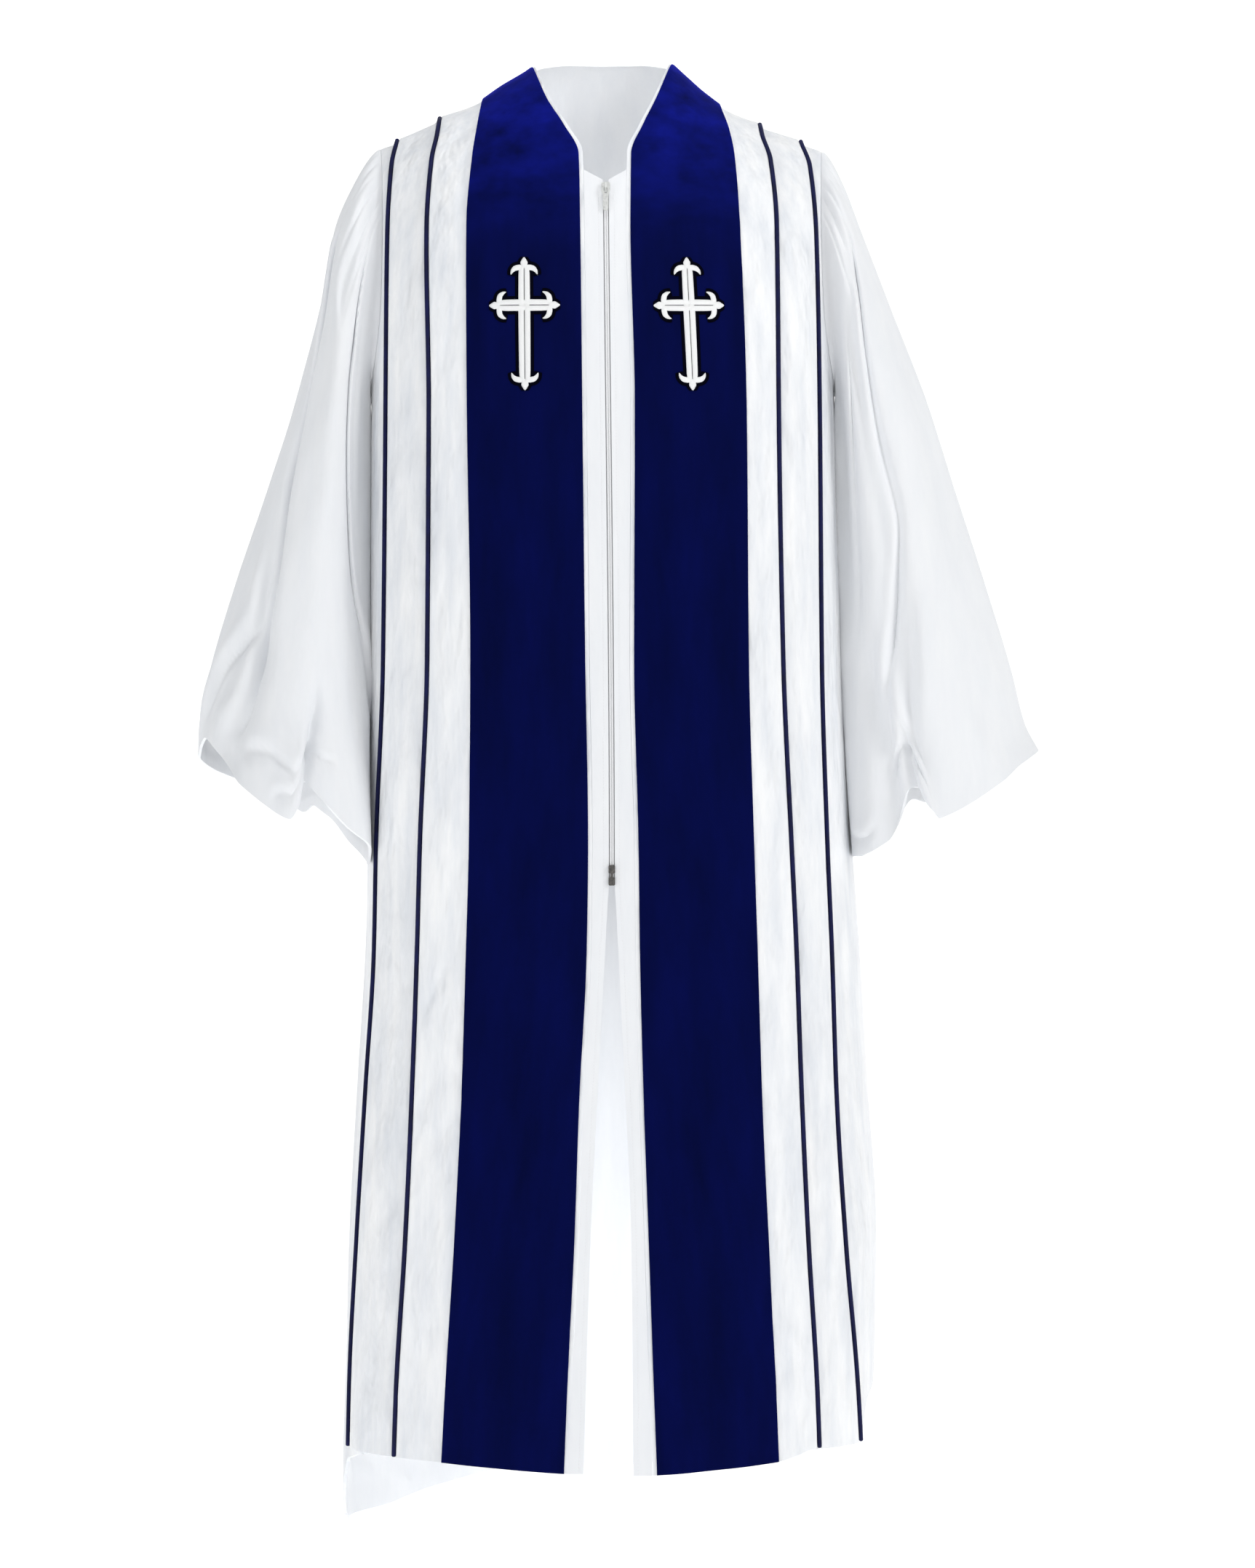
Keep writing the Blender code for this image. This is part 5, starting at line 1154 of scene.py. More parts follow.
def seam_level(side, x):
    """Height of the front's top layer along the shoulder seam, which the back follows there."""
    places = [0.0]
    for name in ("piping_1", "piping_2"):
        at = float(read(SIDES[side][1], name, 0.0))
        places += [at - 0.002, at + 0.006]
    levels = [INNER_FLUTE_LEVEL, INNER_FLUTE_LEVEL, OUTER_FLUTE_LEVEL, OUTER_FLUTE_LEVEL, SIDE_LEVEL]
    return np.interp(x, places, levels)


def back_height(place, drop):
    """Height of the back's soft folds: bells across, each growing from where it begins to the hem,
    with shallow waves and single creases between them."""
    height = np.zeros(np.broadcast(place, drop).shape)
    for centre, width, size, begin in BACK_FOLDS:
        sway = centre + 0.010 * np.sin(4.0 * drop + 9.0 * centre)
        height += size * ease((drop - begin) / 0.75) * np.exp(-(((place - sway) / width) ** 2))
    fade = ease(drop / 0.10) * ease((0.5 - np.abs(place - 0.5)) / 0.05)
    across = place * BACK_WIDTH
    waves = BACK_WAVE_HEIGHT * ease((drop - 0.1) / 0.9) * ripple(across, drop, FRONT_WAVES, 6.0, 21)
    return height + fade * (waves + crease_field(BACK_CREASES, across, drop))


def back_grid():
    """Points of the back, from the wearer's right seam to the left one."""
    count = BACK_COLUMNS * BACK_STEPS + 1
    even = even_reaches(count)
    top_reach = np.interp(np.linspace(0, BACK_COLUMNS, count), (0, 3, BACK_COLUMNS), (0, NECK_REACH, 1.0))
    halves = []
    for side, order in (("right", -1), ("left", 1)):
        half_top = float(read(SIDES[side][1], "side", 0.0))
        start_x = np.minimum(top_reach * half_top, float(side_edge(side, "back", np.array(ARMHOLE_TOP))))
        tops = -read(SIDES[side][2], "neck_edge", start_x / half_top)
        places = 0.5 + order * np.linspace(0, 1, count) / 2
        drops = row_drops(tops, pairs(HEMS["back"], places))
        blend = ease(ROWS / 0.30)[:, None]
        reach = top_reach * (1 - blend) + even * blend
        edge = side_edge(side, "back", drops[:, -1])[:, None]
        x = np.minimum(reach * edge, edge)
        x[0] = start_x
        turn = (1 - ease(np.arange(len(ROWS)) / RIDGE_ROWS))[:, None, None]
        outside = (start_x >= NECK_REACH * half_top - 1e-6)[None, :, None]
        ridge = ridge_lift(side, "back", start_x)[None]
        normal = outward(side, "back", x, drops)
        normal = np.where(outside, unit(normal * (1 - turn) + ridge * turn), normal)
        folds = back_height(places[None, :], drops)
        folds[:, -1] = 0
        seam = seam_level(side, x) * (1 - ease((drops - tops[None, :]) / 0.055))
        points = surface(side, "back", x, drops) + normal * (folds + seam)[..., None]
        points[0, outside[0, :, 0], 1] = MIDDLE_Y + GAP / 2
        points[ARMHOLE_ROWS:, -1, 1] = MIDDLE_Y + GAP / 2
        halves.append(points)
    right, left = halves
    middle = (right[:, :1] + left[:, :1]) / 2
    middle[..., 0] = 0.0
    return np.concatenate([right[:, :0:-1], middle, left[:, 1:]], axis=1)


def make_back():
    """The back's cloth, with the doubled hem inside."""
    grid = back_grid()
    normals = normals_of(grid)
    normals *= np.sign(np.mean(normals[..., 1]))
    seam = np.abs(grid[0, :, 1] - MIDDLE_Y) < 0.001
    normals[0, seam] = flat(normals[0, seam])
    for column in (0, -1):
        normals[ARMHOLE_ROWS:, column] = flat(normals[ARMHOLE_ROWS:, column])
    under = CLOTH / 2 + hem_extra(grid)
    return shell("back_panel", grid, normals, CLOTH / 2, under, CREPE), grid, normals


# Sleeves


def sleeve_press(creases, gathers, along, degrees):
    """How far creases press a sleeve in: each follows its own line from one turn to another, with
    a bell across and soft ends. Gathers are short creases that start at the armhole."""
    depth = np.zeros(np.broadcast(along, degrees).shape)
    for row in creases:
        fold = dict(zip(CREASE_COLUMNS, row))
        share = (along - fold["from"]) / (fold["to"] - fold["from"])
        line = fold["turn_from"] + (fold["turn_to"] - fold["turn_from"]) * np.clip(share, 0, 1)
        away = (degrees - line + 180) % 360 - 180
        ends = ease(share / 0.25 + (1.0 if fold["from"] == 0 else 0.0)) * (1 - ease((share - 0.75) / 0.25))
        depth += fold["depth"] * ends * np.exp(-((away / fold["width"]) ** 2))
    for turn, length, size in gathers:
        away = (degrees - turn + 180) % 360 - 180
        depth += size * (1 - ease(along / length)) * ease(along / 0.02) * np.exp(-((away / 3.0) ** 2))
    return depth


def sleeve_folds(side, along, degrees):
    """How far the sharper folds press a sleeve in: a narrow valley along a drawn line with a
    broader ridge beside it, and soft troughs whose line runs around the sleeve instead."""
    depth = np.zeros(np.broadcast(along, degrees).shape)
    for places, turns, size, width, ridge in SLEEVE_FOLDS[side]:
        away = degrees - smooth(along, places, turns)
        ends = ease((along - places[0]) / 0.10) * ease((places[-1] - along) / 0.08)
        valley = np.exp(-((away / width) ** 2))
        beside = np.exp(-(((away - ridge) / (1.8 * width)) ** 2))
        depth += size * ends * (valley - 0.65 * beside)
    for turns, places, size, width in SLEEVE_SWAGS[side]:
        away = along - smooth(degrees, turns, places)
        ends = ease((degrees - turns[0]) / 10.0) * ease((turns[-1] - degrees) / 10.0)
        beside = np.exp(-(((away + 2 * width) / (1.5 * width)) ** 2))
        depth += size * ends * (np.exp(-((away / width) ** 2)) - 0.6 * beside)
    return depth


def finer_loop(loop, square):
    """Places around an armhole as shares of a full turn, closer together over the front half, with
    the loop's points and the vectors square to it at those places."""
    front = np.arange(FRONT_TURNS) / (2 * FRONT_TURNS)
    places = np.concatenate([front, 0.5 + np.arange(BACK_TURNS) / (2 * BACK_TURNS)])
    numbers = np.arange(len(loop) + 1) / len(loop)
    points, lifts = [between(places, numbers, np.concatenate([rows, rows[:1]])) for rows in (loop, square)]
    return places, points, unit(lifts)


def sleeve_grid(side, loop, square):
    """Points of a sleeve: rings from the armhole to the cuff, each an oval between its outer and
    inner ends, with creases pressed in and a hem that hangs in lobes."""
    sign = SIDES[side][0]
    rings, creases, cuff = SLEEVES[side]
    places, loop, square = finer_loop(loop, square)
    head, rest = np.linspace(0, 0.12, 16)[:-1], np.linspace(0.12, 1.0, SLEEVE_ROWS - 15)
    along = np.concatenate([head, rest])[:, None]
    turn = 2 * math.pi * places[None, :]
    degrees = (np.degrees(turn) + 180) % 360 - 180
    outer = np.stack([sign * read(rings, "outer_x", along), -read(rings, "outer_drop", along)], -1)
    inner = np.stack([sign * read(rings, "inner_x", along), -read(rings, "inner_drop", along)], -1)
    middle, reach = (outer + inner) / 2, (outer - inner) / 2
    deep = read(rings, "half_depth", along)
    length = np.linalg.norm(reach, axis=-1)
    lie = ripple(degrees / 360 * 0.5, along * 0.7, SLEEVE_WAVES, 4.0, {"right": 5, "left": 12}[side])
    dent = sleeve_press(creases, SLEEVE_GATHERS[side], along, degrees)
    dent = dent + SLEEVE_WAVE_HEIGHT * lie * ease((along - 0.08) / 0.2) * ease((170 - np.abs(degrees)) / 30)
    dent = dent + sleeve_folds(side, along, degrees)
    lap = SLEEVE_LAP[side] * ease(along / 0.10) * np.exp(-(((degrees - LAP_TURN) / LAP_WIDTH) ** 2))
    x = middle[..., 0] + np.cos(turn) * reach[..., 0] * (1 - dent / length) - sign * lap
    z = middle[..., 1] + np.cos(turn) * reach[..., 1] * (1 - dent / length)
    swing = read(rings, "yaw", along) * (1 - np.cos(turn)) / 2
    y = MIDDLE_Y - SLEEVE_FORWARD * along - swing - np.sin(turn) * (deep - dent)
    z = z - pairs(cuff, degrees) * ease((along - CUFF_START) / (1 - CUFF_START))
    oval = np.stack([x, y, z], axis=-1)

    edge = np.roll(loop, -1, axis=0) - np.roll(loop, 1, axis=0)
    leave = unit(np.cross(edge, square))
    centre = loop.mean(axis=0)
    inwards = np.sum(leave * (centre + np.array([sign * 0.05, 0, 0]) - loop), axis=-1, keepdims=True)
    leave *= np.where(inwards < 0, -1.0, 1.0)
    # Edge to edge with the body's wall at the shoulder, turning to stand off it at the underarm
    turned = math.pi / 2 * ease((np.abs(degrees[0]) - 95) / 50)[:, None]
    start = loop + leave * SLEEVE_SEAM + square * (CLOTH / 2 + SLEEVE_SEAM) * np.sin(turned)
    first = np.cos(turned) * square - np.sin(turned) * leave
    share = ease(along / 0.12)[..., None]
    grown = start[None] + np.array([sign * 0.10, 0, 0]) * along[..., None]
    points = (1 - share) * grown + share * oval
    points[0] = start
    return points, first


def make_sleeve(side, front, front_normals, back, back_normals):
    """A sleeve's cloth: its armhole loop runs down the front's edge and up the back's."""
    column = 0 if side == "right" else -1
    n = ARMHOLE_ROWS
    ahead, behind = front[:n + 1, -1], back[:n + 1, column]
    ahead_n, behind_n = front_normals[:n + 1, -1], back_normals[:n + 1, column]
    loop, square = [
        np.concatenate([[(a[0] + b[0]) / 2], a[1:n], [(a[n] + b[n]) / 2], b[n - 1:0:-1]])
        for a, b in ((ahead, behind), (ahead_n, behind_n))
    ]
    grid, first = sleeve_grid(side, loop, unit(square))
    normals = normals_of(grid, closed=True)
    centre = grid.mean(axis=1, keepdims=True)
    normals *= np.sign(np.sum(normals[5:] * (grid - centre)[5:]))
    normals[0] = unit(first)
    under = CLOTH / 2 + hem_extra(grid, depth=0.016)
    return shell(side + "_sleeve", grid, normals, CLOTH / 2, under, CREPE, closed=True)


# Crosses


def front_points(side, line, drop, height):
    """Points at a height over a front that keep their distance from the middle."""
    x = line.copy()
    for _ in range(3):
        x = line - height * np.abs(outward(side, "front", x, drop)[..., 0])
    return surface(side, "front", x, drop) + np.asarray(height)[..., None] * outward(side, "front", x, drop)


def on_band(side, across, up, height):
    """Points laid on a velvet band from a cross's own X and Y: X is measured along the band's
    surface at the cross's drop, as a share of its width there, and Y is taken off the drop."""
    lines = SIDES[side][1]
    lean = CROSS_LEAN[side]
    x = across * math.cos(lean) - up * math.sin(lean)
    y = across * math.sin(lean) + up * math.cos(lean)
    share = np.linspace(0, 1, 60)
    drop = np.full(len(share), CROSS_DROP)
    line = (1 - share) * read(lines, "edge", drop) + share * read(lines, "velvet", drop)
    arc = run_of(surface(side, "front", line, drop))
    part = np.interp(CROSS_ACROSS[side] * arc[-1] + SIDES[side][0] * x, arc, share)
    middle = np.interp(CROSS_ACROSS[side] * arc[-1], arc, line)
    raised = front_points(side, np.array([middle]), drop[:1], np.array([BAND_TOP]))
    down = 2 * CROSS_DROP + raised[0, 2] - y
    line = (1 - part) * read(lines, "edge", down) + part * read(lines, "velvet", down)
    return front_points(side, line, down, BAND_TOP + height)


def ribbon(side, path, half_width, base, rise, groove, around):
    """Rings of a padded ribbon of satin stitch on a band. Along the path the ribbon has its own
    half width; across, its height is a half ellipse with a bell-shaped valley in the middle, and
    its underside is flat. Both ends shrink to a point."""
    ahead = unit(np.gradient(path, axis=0))
    aside = np.stack([ahead[:, 1], -ahead[:, 0]], axis=-1)
    turn = turns(around)
    t, up = np.cos(turn)[None, :], np.sin(turn)[None, :]
    place = path[:, None] + (t * half_width[:, None])[..., None] * aside[:, None]
    swell = np.minimum(half_width / 0.0035, 1.0)[:, None] ** 0.7
    valley = groove * ease((half_width - 0.0032) / 0.0016)[:, None] * np.exp(-((t / 0.16) ** 2))
    top = rise * np.abs(up) ** 0.7 * swell - valley
    height = base + np.where(up > 0, top, 0.0)
    return on_band(side, place[..., 0], place[..., 1], height)


def cross_paths():
    """Middle lines and half widths of a cross's ribbons: four arms that run from the crossing to
    their pointed tips, and eight hooks that leave an arm and bend back towards the crossing, each
    drawn for the upper arm and turned by quarter turns."""
    parts = []
    for quarter, arm_name in enumerate(("up", "side", "down", "side")):
        length = CROSS_ARM[arm_name]
        turn = -quarter * math.pi / 2
        way = np.array([[math.cos(turn), -math.sin(turn)], [math.sin(turn), math.cos(turn)]])
        back = (length + 0.001) * (1 - np.linspace(0, 1, 70)) ** 1.3
        arm = np.stack([0 * back, length - back], axis=-1)
        foot = np.clip((length + 0.001 - back) / 0.001, 0.02, 1.0)
        parts.append((arm @ way.T, pairs(CROSS_BAR, back) * foot))
        s = np.linspace(0, 1, 34)
        for side in (-1, 1):
            aside, behind = read(CROSS_HOOK, "aside", s), read(CROSS_HOOK, "back", s)
            hook = np.stack([side * aside, length - behind], axis=-1)
            parts.append((hook @ way.T, read(CROSS_HOOK, "half", s) * np.clip(s / 0.05, 0.05, 1.0)))
    return parts


def make_cross(side):
    """Applied cross: satin-stitched ribbons over a wider, flatter near-black border, which is painted shadow
    around the raised cross.
    """
    paths = cross_paths()
    # The dark border ribbons are painted shadow around the cross
    border = [ribbon(side, path, width + CROSS_SHADOW_BORDER, *SHADOW_BORDER_RIBBON) for path, width in paths]
    satin = [ribbon(side, path, width, *SATIN_RIBBON) for path, width in paths]
    return joined(side + "_cross_shadow_border", border, PAINTED_CROSS_SHADOW), joined(side + "_cross", satin, SATIN_STITCH)


# Finishes. The wave texture repeats once a unit at this scale, which is near a tenth of pi.
WAVE_SCALE = 0.318


def nodes_of(name, colour, roughness, metallic=0.0, **constants):
    """A material with its shader's constants set on the shader's own sockets."""
    material = bpy.data.materials.new(name)
    material.use_nodes = True
    tree = material.node_tree
    shader = tree.nodes["Principled BSDF"]
    shader.inputs["Base Color"].default_value = (*colour, 1.0)
    shader.inputs["Roughness"].default_value = roughness
    shader.inputs["Metallic"].default_value = metallic
    for socket, value in constants.items():
        shader.inputs[socket.replace("_", " ")].default_value = value
    return material, tree, shader


def coordinates(tree, kind, scale, turn=0.0):
    """Object or UV coordinates in metres, turned and then scaled, so 1 is one repeat."""
    source = tree.nodes.new("ShaderNodeTexCoord")
    mapping = tree.nodes.new("ShaderNodeMapping")
    mapping.inputs["Scale"].default_value = scale
    mapping.inputs["Rotation"].default_value = (0.0, 0.0, turn)
    tree.links.new(source.outputs[kind], mapping.inputs["Vector"])
    return mapping.outputs["Vector"]


def noise(tree, vector, scale, detail=3.0, rough=0.55):
    """Soft noise between 0 and 1."""
    node = tree.nodes.new("ShaderNodeTexNoise")
    node.inputs["Scale"].default_value = scale
    node.inputs["Detail"].default_value = detail
    node.inputs["Roughness"].default_value = rough
    tree.links.new(vector, node.inputs["Vector"])
    return node.outputs["Fac"]


def threads(tree, vector, direction, distortion=0.0):
    """Rounded ridges across one axis, one for each unit of the coordinates."""
    node = tree.nodes.new("ShaderNodeTexWave")
    node.bands_direction = direction
    node.inputs["Scale"].default_value = WAVE_SCALE
    node.inputs["Distortion"].default_value = distortion
    tree.links.new(vector, node.inputs["Vector"])
    return node.outputs["Fac"]


def maths(tree, operation, first, second):
    """A sum, product or other step of two values, either of which may be a number."""
    node = tree.nodes.new("ShaderNodeMath")
    node.operation = operation
    for socket, value in zip(node.inputs, (first, second)):
        if isinstance(value, (int, float)):
            socket.default_value = value
        else:
            tree.links.new(value, socket)
    return node.outputs[0]


def tint(tree, shader, value, low, high, start=0.3, end=0.7):
    """Base colour that goes from low to high with a value."""
    ramp = tree.nodes.new("ShaderNodeValToRGB")
    ramp.color_ramp.elements[0].position, ramp.color_ramp.elements[1].position = start, end
    ramp.color_ramp.elements[0].color, ramp.color_ramp.elements[1].color = (*low, 1.0), (*high, 1.0)
    tree.links.new(value, ramp.inputs["Fac"])
    tree.links.new(ramp.outputs["Color"], shader.inputs["Base Color"])


def rough(tree, shader, value, low, high):
    """Roughness that goes from low to high with a value."""
    node = tree.nodes.new("ShaderNodeMapRange")
    node.inputs["To Min"].default_value = low
    node.inputs["To Max"].default_value = high
    tree.links.new(value, node.inputs["Value"])
    tree.links.new(node.outputs["Result"], shader.inputs["Roughness"])


def bump(tree, shader, layers):
    """Bumps stacked one on another: pairs of a height value and its depth in metres."""
    last = None
    for value, depth in layers:
        node = tree.nodes.new("ShaderNodeBump")
        node.inputs["Strength"].default_value = 1.0
        node.inputs["Distance"].default_value = depth
        tree.links.new(value, node.inputs["Height"])
        if last:
            tree.links.new(last, node.inputs["Normal"])
        last = node.outputs["Normal"]
    tree.links.new(last, shader.inputs["Normal"])


def crepe(name, roughness, gloss, rumpled, shade, light):
    """White crepe: a plain weave of fine twisted threads, a pebbled grain, soft rumples of a given depth,
    and painted shade and painted sheen in long soft streaks, where the base colour runs between a cool
    shaded tone and a light one."""
    material, tree, shader = nodes_of(
        name, (0.88, 0.89, 0.91), roughness, Sheen_Weight=0.12, Sheen_Roughness=0.4, Specular_IOR_Level=gloss
    )
    fine = coordinates(tree, "UV", (1 / 0.0007, 1 / 0.0007, 1.0))
    weave = maths(tree, "MULTIPLY", threads(tree, fine, "X"), threads(tree, fine, "Y"))
    grain = noise(tree, coordinates(tree, "UV", (1.0, 1.0, 1.0)), 1400.0, 2.0)
    rumple = noise(tree, coordinates(tree, "Object", (1.0, 1.0, 0.40)), 34.0, 3.0, 0.5)
    # Painted shade and sheen: long soft streaks that darken the base colour to a cool grey and lighten it
    # towards white
    painted_shade_streak = noise(tree, coordinates(tree, "Object", (1.0, 1.0, 0.14)), 55.0, 4.0, 0.6)
    tint(tree, shader, painted_shade_streak, shade, light)
    rough(tree, shader, grain, roughness - 0.08, roughness + 0.08)
    bump(tree, shader, ((rumple, rumpled), (grain, 0.00006), (weave, 0.00005)))
    return material


def velvet_pile():
    """Navy velvet: short pile that leans down the band, brushed in soft streaks, with a blue sheen. Its base
    colour is also painted a lighter royal blue towards the top of the band, in patches, as painted sheen
    over the shoulders.
    """
    material, tree, shader = nodes_of(
        "navy_velvet", (0.003, 0.005, 0.055), 0.75, Sheen_Weight=0.80, Sheen_Roughness=0.26,
        Sheen_Tint=(0.010, 0.022, 0.90, 1.0), Specular_IOR_Level=0.04, Specular_Tint=(0.15, 0.25, 1.0, 1.0),
    )
    brushed = noise(tree, coordinates(tree, "UV", (1.0, 0.22, 1.0)), 26.0, 4.0, 0.6)
    parts = tree.nodes.new("ShaderNodeSeparateXYZ")
    tree.links.new(coordinates(tree, "Object", (1.0, 1.0, 1.0)), parts.inputs["Vector"])
    # Painted sheen: how much lighter the base colour grows towards the top of the band, over the shoulders
    lift = tree.nodes.new("ShaderNodeMapRange")
    lift.interpolation_type = "SMOOTHSTEP"
    lift.inputs["From Min"].default_value = -0.22
    lift.inputs["From Max"].default_value = -0.02
    tree.links.new(parts.outputs["Z"], lift.inputs["Value"])
    # Painted sheen in patches at the shoulders, plus a random brushed tone everywhere
    shoulder_sheen_patch = noise(tree, coordinates(tree, "Object", (1.0, 1.0, 1.6)), 24.0, 3.0, 0.6)
    swell = maths(tree, "ADD", maths(tree, "MULTIPLY", shoulder_sheen_patch, 2.0), -0.45)
    raised = maths(tree, "MULTIPLY", lift.outputs["Result"], swell)
    raised = maths(tree, "ADD", raised, maths(tree, "MULTIPLY", brushed, 0.35))
    pile = noise(tree, coordinates(tree, "UV", (1.0, 0.5, 1.0)), 2600.0, 2.0)
    soft = noise(tree, coordinates(tree, "Object", (1.0, 1.0, 0.5)), 20.0, 3.0)
    # Base colour from dark navy to the royal blue of the painted shoulder sheen
    tint(tree, shader, raised, (0.0014, 0.0026, 0.018), (0.0050, 0.0090, 0.205), 0.0, 1.0)
    rough(tree, shader, pile, 0.65, 0.85)
    bump(tree, shader, ((soft, 0.0022), (pile, 0.00012)))
    return material


def satin_cord():
    """Navy satin cut on the bias over a cord: fine diagonal twill and a gentle gloss."""
    material, tree, shader = nodes_of(
        "navy_satin", (0.003, 0.004, 0.035), 0.50, Sheen_Weight=0.06, Sheen_Roughness=0.3,
        Sheen_Tint=(0.1, 0.15, 0.9, 1.0), Specular_IOR_Level=0.18,
    )
    twill = threads(tree, coordinates(tree, "UV", (1 / 0.0006, 1 / 0.0006, 1.0), math.radians(45)), "X")
    wear = noise(tree, coordinates(tree, "Object", (1.0, 1.0, 1.0)), 60.0, 3.0)
    tint(tree, shader, wear, (0.0025, 0.0035, 0.030), (0.0045, 0.0065, 0.066))
    rough(tree, shader, twill, 0.44, 0.60)
    bump(tree, shader, ((wear, 0.0004), (twill, 0.00006)))
    return material


def thread(name, dark, light, roughness, pitch, depth, gloss=0.55):
    """Rayon thread in rows: rounded ridges along the ribbon, with painted shade in the grooves between the
    rows and a random uneven tone.
    """
    material, tree, shader = nodes_of(
        name, light, roughness, Sheen_Weight=0.2 * gloss, Sheen_Roughness=0.3, Specular_IOR_Level=gloss
    )
    rows = threads(tree, coordinates(tree, "UV", (1 / pitch * 0.15, 1 / pitch, 1.0)), "Y", distortion=0.6)
    uneven = noise(tree, coordinates(tree, "UV", (0.3, 1.0, 1.0)), 900.0, 2.0)
    # Painted shade: the colour goes to the dark tone in the grooves between rows, varied by the random
    # uneven tone
    mixed = maths(tree, "MULTIPLY", maths(tree, "ADD", rows, 0.35), maths(tree, "ADD", uneven, 0.4))
    tint(tree, shader, mixed, dark, light, 0.15, 0.85)
    rough(tree, shader, uneven, roughness - 0.07, roughness + 0.10)
    bump(tree, shader, ((rows, depth), (uneven, depth * 0.5)))
    return material


def twill_tape():
    """White zip tape: narrow ribs along the tape crossed by fine picks, with painted shade in the grooves
    between them.
    """
    material, tree, shader = nodes_of("woven_tape", (0.86, 0.87, 0.88), 0.70, Sheen_Weight=0.08)
    vector = coordinates(tree, "UV", (1 / 0.0009, 1 / 0.0006, 1.0))
    ribs, picks = threads(tree, vector, "X"), threads(tree, vector, "Y")
    mixed = maths(tree, "ADD", maths(tree, "MULTIPLY", ribs, 0.7), maths(tree, "MULTIPLY", picks, 0.3))
    # Painted shade: darker grey in the grooves between ribs and picks, white on their tops
    tint(tree, shader, mixed, (0.70, 0.715, 0.735), (0.90, 0.905, 0.91), 0.1, 0.8)
    bump(tree, shader, ((ribs, 0.00014), (picks, 0.00006)))
    return material


def coil_nylon():
    """Drawn nylon of the coil: milky, a little glossy, with faint drawing marks."""
    material, tree, shader = nodes_of(
        "nylon_coil", (0.93, 0.94, 0.95), 0.36, Coat_Weight=0.25, Coat_Roughness=0.2, Specular_IOR_Level=0.5
    )
    marks = noise(tree, coordinates(tree, "Object", (0.4, 1.0, 1.0)), 700.0, 3.0)
    tint(tree, shader, marks, (0.88, 0.89, 0.90), (0.95, 0.955, 0.96))
    rough(tree, shader, marks, 0.30, 0.48)
    bump(tree, shader, ((marks, 0.00002),))
    return material


def cast_metal(name, dark, light, low, high, metallic):
    """Small cast part: tumbled surface with fine pits, and rubbed lighter in patches."""
    material, tree, shader = nodes_of(name, light, low, metallic, Specular_IOR_Level=0.5)
    patches = noise(tree, coordinates(tree, "Object", (1.0, 1.0, 1.0)), 420.0, 4.0)
    pits = noise(tree, coordinates(tree, "Object", (1.0, 1.0, 1.0)), 2600.0, 2.0)
    tint(tree, shader, patches, dark, light, 0.3, 0.65)
    rough(tree, shader, patches, low, high)
    bump(tree, shader, ((patches, 0.00003), (pits, 0.00001)))
    return material


def plain_stage(name, colour, glow):
    """Matt pale stage with a faint mottle."""
    material, tree, shader = nodes_of(name, colour, 0.9, Emission_Strength=glow)
    shader.inputs["Emission Color"].default_value = (1.0, 1.0, 1.0, 1.0)
    mottle = noise(tree, coordinates(tree, "Object", (1.0, 1.0, 1.0)), 2.0, 2.0)
    tint(tree, shader, mottle, tuple(c * 0.985 for c in colour), colour)
    return material


# Stage, light and camera


def backdrop():
    """Floor that bends up into a wall: a straight run, a quarter circle and a straight rise."""
    turn = np.linspace(0, math.pi / 2, 24)
    y, z = BEND_START + BEND_RADIUS * np.sin(turn), FLOOR_Z + BEND_RADIUS * (1 - np.cos(turn))
    bend = np.stack([y, z], axis=-1)
    profile = np.concatenate([[[STAGE_FRONT, FLOOR_Z]], bend, [[BEND_START + BEND_RADIUS, STAGE_TOP]]])
    x = np.linspace(-STAGE_HALF_WIDTH, STAGE_HALF_WIDTH, 13)
    points = np.zeros((len(profile), len(x), 3))
    points[..., 0], points[..., 1], points[..., 2] = x, profile[:, :1], profile[:, 1:]
    quads, _ = grid_quads(*points.shape[:2], False)
    data = bpy.data.meshes.new("backdrop")
    data.from_pydata(points.reshape(-1, 3).tolist(), [], quads.tolist())
    data.shade_smooth()
    data.materials.append(plain_stage("pale_stage", STAGE_COLOUR, STAGE_GLOW))
    stage = bpy.data.objects.new("backdrop", data)
    bpy.context.scene.collection.objects.link(stage)


def area_light(name, place, target, size, power, colour):
    """Soft rectangular light aimed at a point, which the camera doesn't see."""
    data = bpy.data.lights.new(name, "AREA")
    data.shape = "RECTANGLE"
    data.size, data.size_y = size
    data.energy = power
    data.color = colour
    lamp = bpy.data.objects.new(name, data)
    lamp.location = place
    lamp.visible_camera = False
    lamp.rotation_euler = (Vector(target) - Vector(place)).to_track_quat("-Z", "Y").to_euler()
    bpy.context.scene.collection.objects.link(lamp)


def studio():
    """Camera at the photo's angle, an even white world, large soft lights around the robe, and
    small ones that reach into the neck and behind the slit."""
    camera = bpy.data.cameras.new("camera")
    camera.sensor_fit = "VERTICAL"
    camera.sensor_height = SENSOR
    camera.lens = SENSOR * CAMERA_AWAY / VIEW_HEIGHT
    holder = bpy.data.objects.new("camera", camera)
    holder.location = (CAMERA_X, -CAMERA_AWAY, CAMERA_Z)
    holder.rotation_euler = (math.pi / 2, 0.0, 0.0)
    bpy.context.scene.collection.objects.link(holder)
    bpy.context.scene.camera = holder

    world = bpy.data.worlds.new("studio")
    world.use_nodes = True
    sky = world.node_tree.nodes["Background"]
    sky.inputs["Color"].default_value = WORLD_COLOUR
    sky.inputs["Strength"].default_value = WORLD_LIGHT
    bpy.context.scene.world = world
    bpy.context.scene.view_settings.view_transform = "Standard"
    for light in LIGHTS:
        area_light(*light)


# The robe


def declare(nodes=()):
    """Hides the solids that a piece stands for."""
    if nodes:
        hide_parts(*nodes)
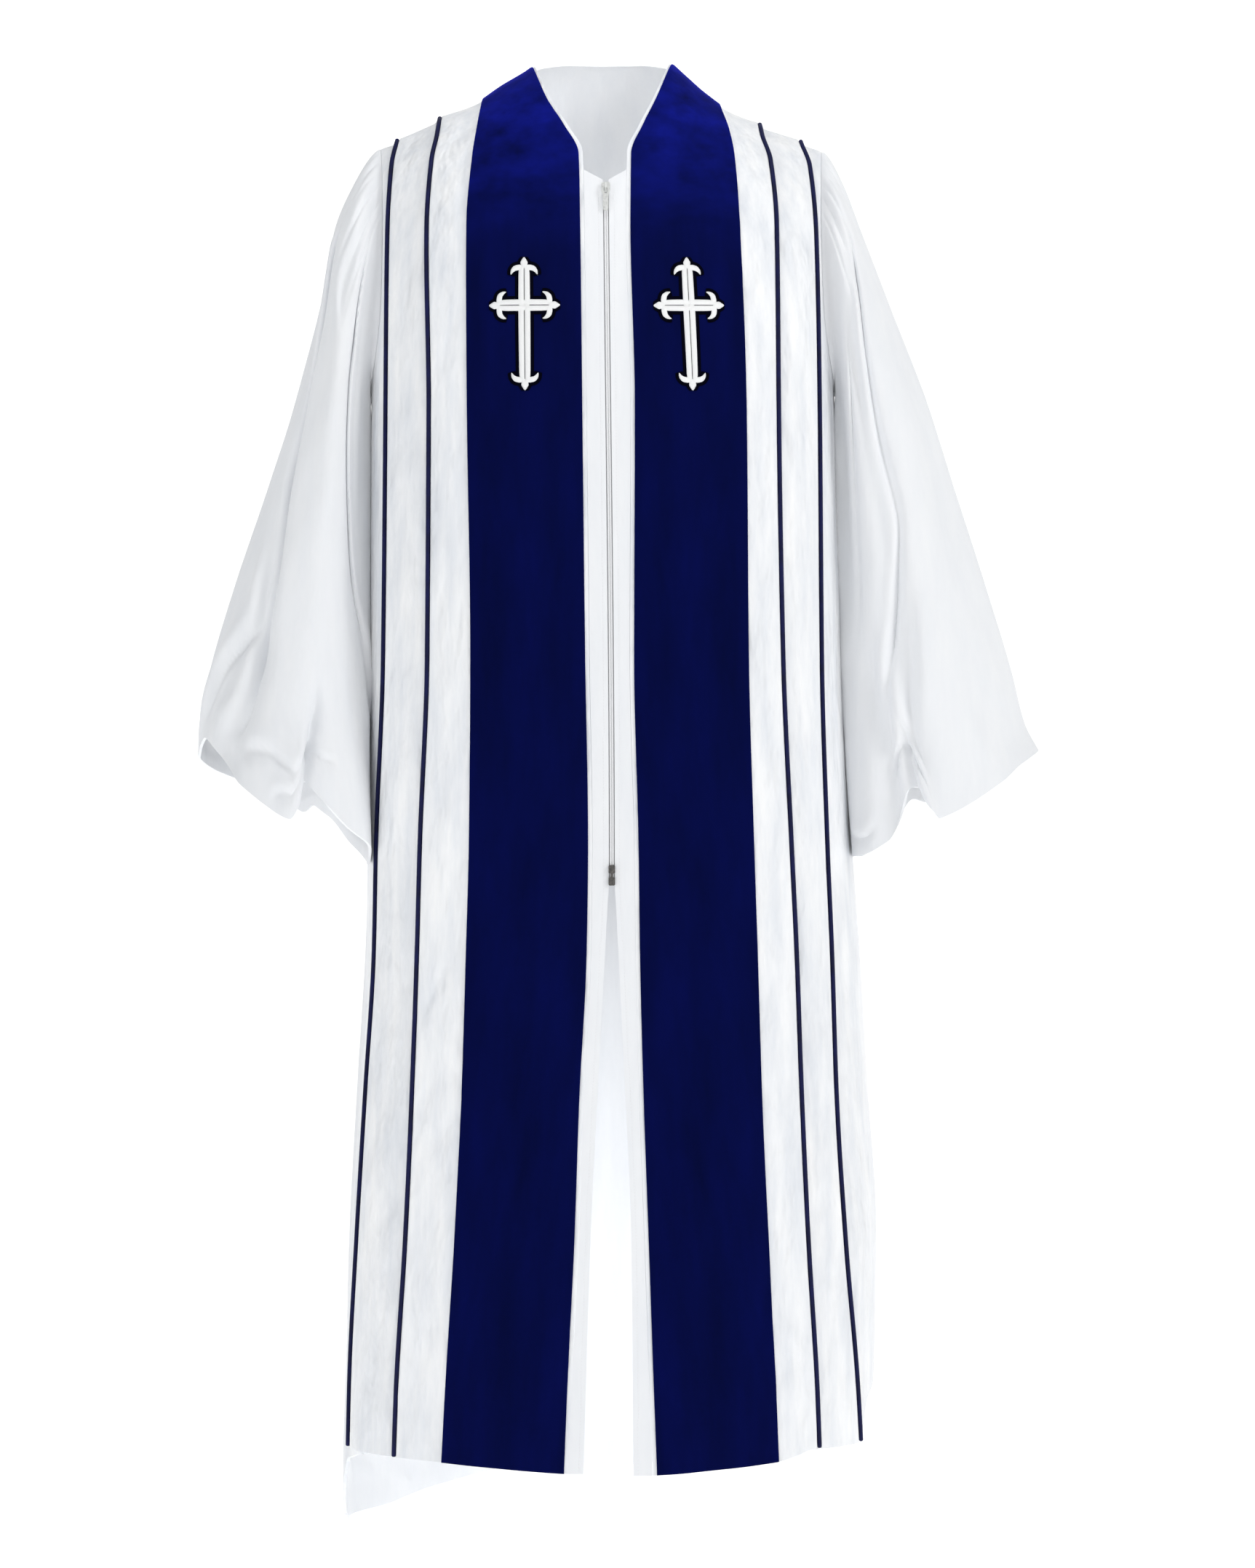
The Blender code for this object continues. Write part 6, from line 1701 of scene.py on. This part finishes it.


# Each crepe's two tones are its painted cool shade and its painted sheen; the satin crepe's span is wide
CREPE = crepe("white_crepe", 0.70, 0.30, 0.0022, (0.865, 0.880, 0.905), (0.905, 0.915, 0.930))
SATIN_CREPE = crepe("satin_crepe", 0.42, 0.50, 0.0100, (0.800, 0.825, 0.865), (0.985, 0.988, 0.990))
VELVET_PILE = velvet_pile()
SATIN_CORD = satin_cord()
# The dark tone of each thread is painted shade between its rows
SATIN_STITCH = thread("satin_stitch", (0.82, 0.83, 0.84), (0.98, 0.98, 0.97), 0.38, 0.0005, 0.00006)
# Near-black finish of the border: painted shadow around the raised cross
PAINTED_CROSS_SHADOW = thread(
    "painted_cross_shadow", (0.0003, 0.0003, 0.0020), (0.0010, 0.0010, 0.0060), 0.80, 0.0007, 0.00010, 0.03
)
SEWING_THREAD = thread("sewing_thread", (0.72, 0.73, 0.76), (0.88, 0.88, 0.89), 0.45, 0.0004, 0.00003)
TWILL_TAPE = twill_tape()
COIL_NYLON = coil_nylon()
PALE_METAL = cast_metal("pale_zip_metal", (0.66, 0.67, 0.65), (0.84, 0.85, 0.83), 0.30, 0.48, 0.35)
DARK_METAL = cast_metal("dark_zip_metal", (0.07, 0.07, 0.07), (0.18, 0.17, 0.16), 0.34, 0.55, 0.85)

studio()
backdrop()

fronts = {}
for side in SIDES:
    piece, grid, normals, drops, index = make_front(side)
    fronts[side] = (grid, normals)
    for number in ("1", "2"):
        cord = make_piping(side, number, drops, index)
        declare(["piping_%s_%s" % (side, number)])
    declare(["front_" + side])
    border, satin = make_cross(side)
    declare()
    declare(["cross_" + side])
    band = make_band(side, grid, normals, index)
    declare(["velvet_band_" + side])
    strip, strip_points, strip_normals = make_placket(side)
    seam = make_seam(side, strip_points, strip_normals)
    declare()
    declare(["placket_" + side])
    tape = make_tape(side)
    declare(["zip_tape_" + side])

back, back_points, back_normals = make_back()
declare(["back"])
for side in SIDES:
    grid, normals = fronts[side]
    sleeve = make_sleeve(side, grid, normals, back_points, back_normals)
    declare(["sleeve_" + side])

coil, cords = make_coil()
declare(["zip_chain"])
declare()
metal_parts = {"zip_slider": PALE_METAL, "zip_pull_tab": PALE_METAL, "zip_end_box": DARK_METAL}
for name, material in metal_parts.items():
    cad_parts[name].material_slots[0].material = material
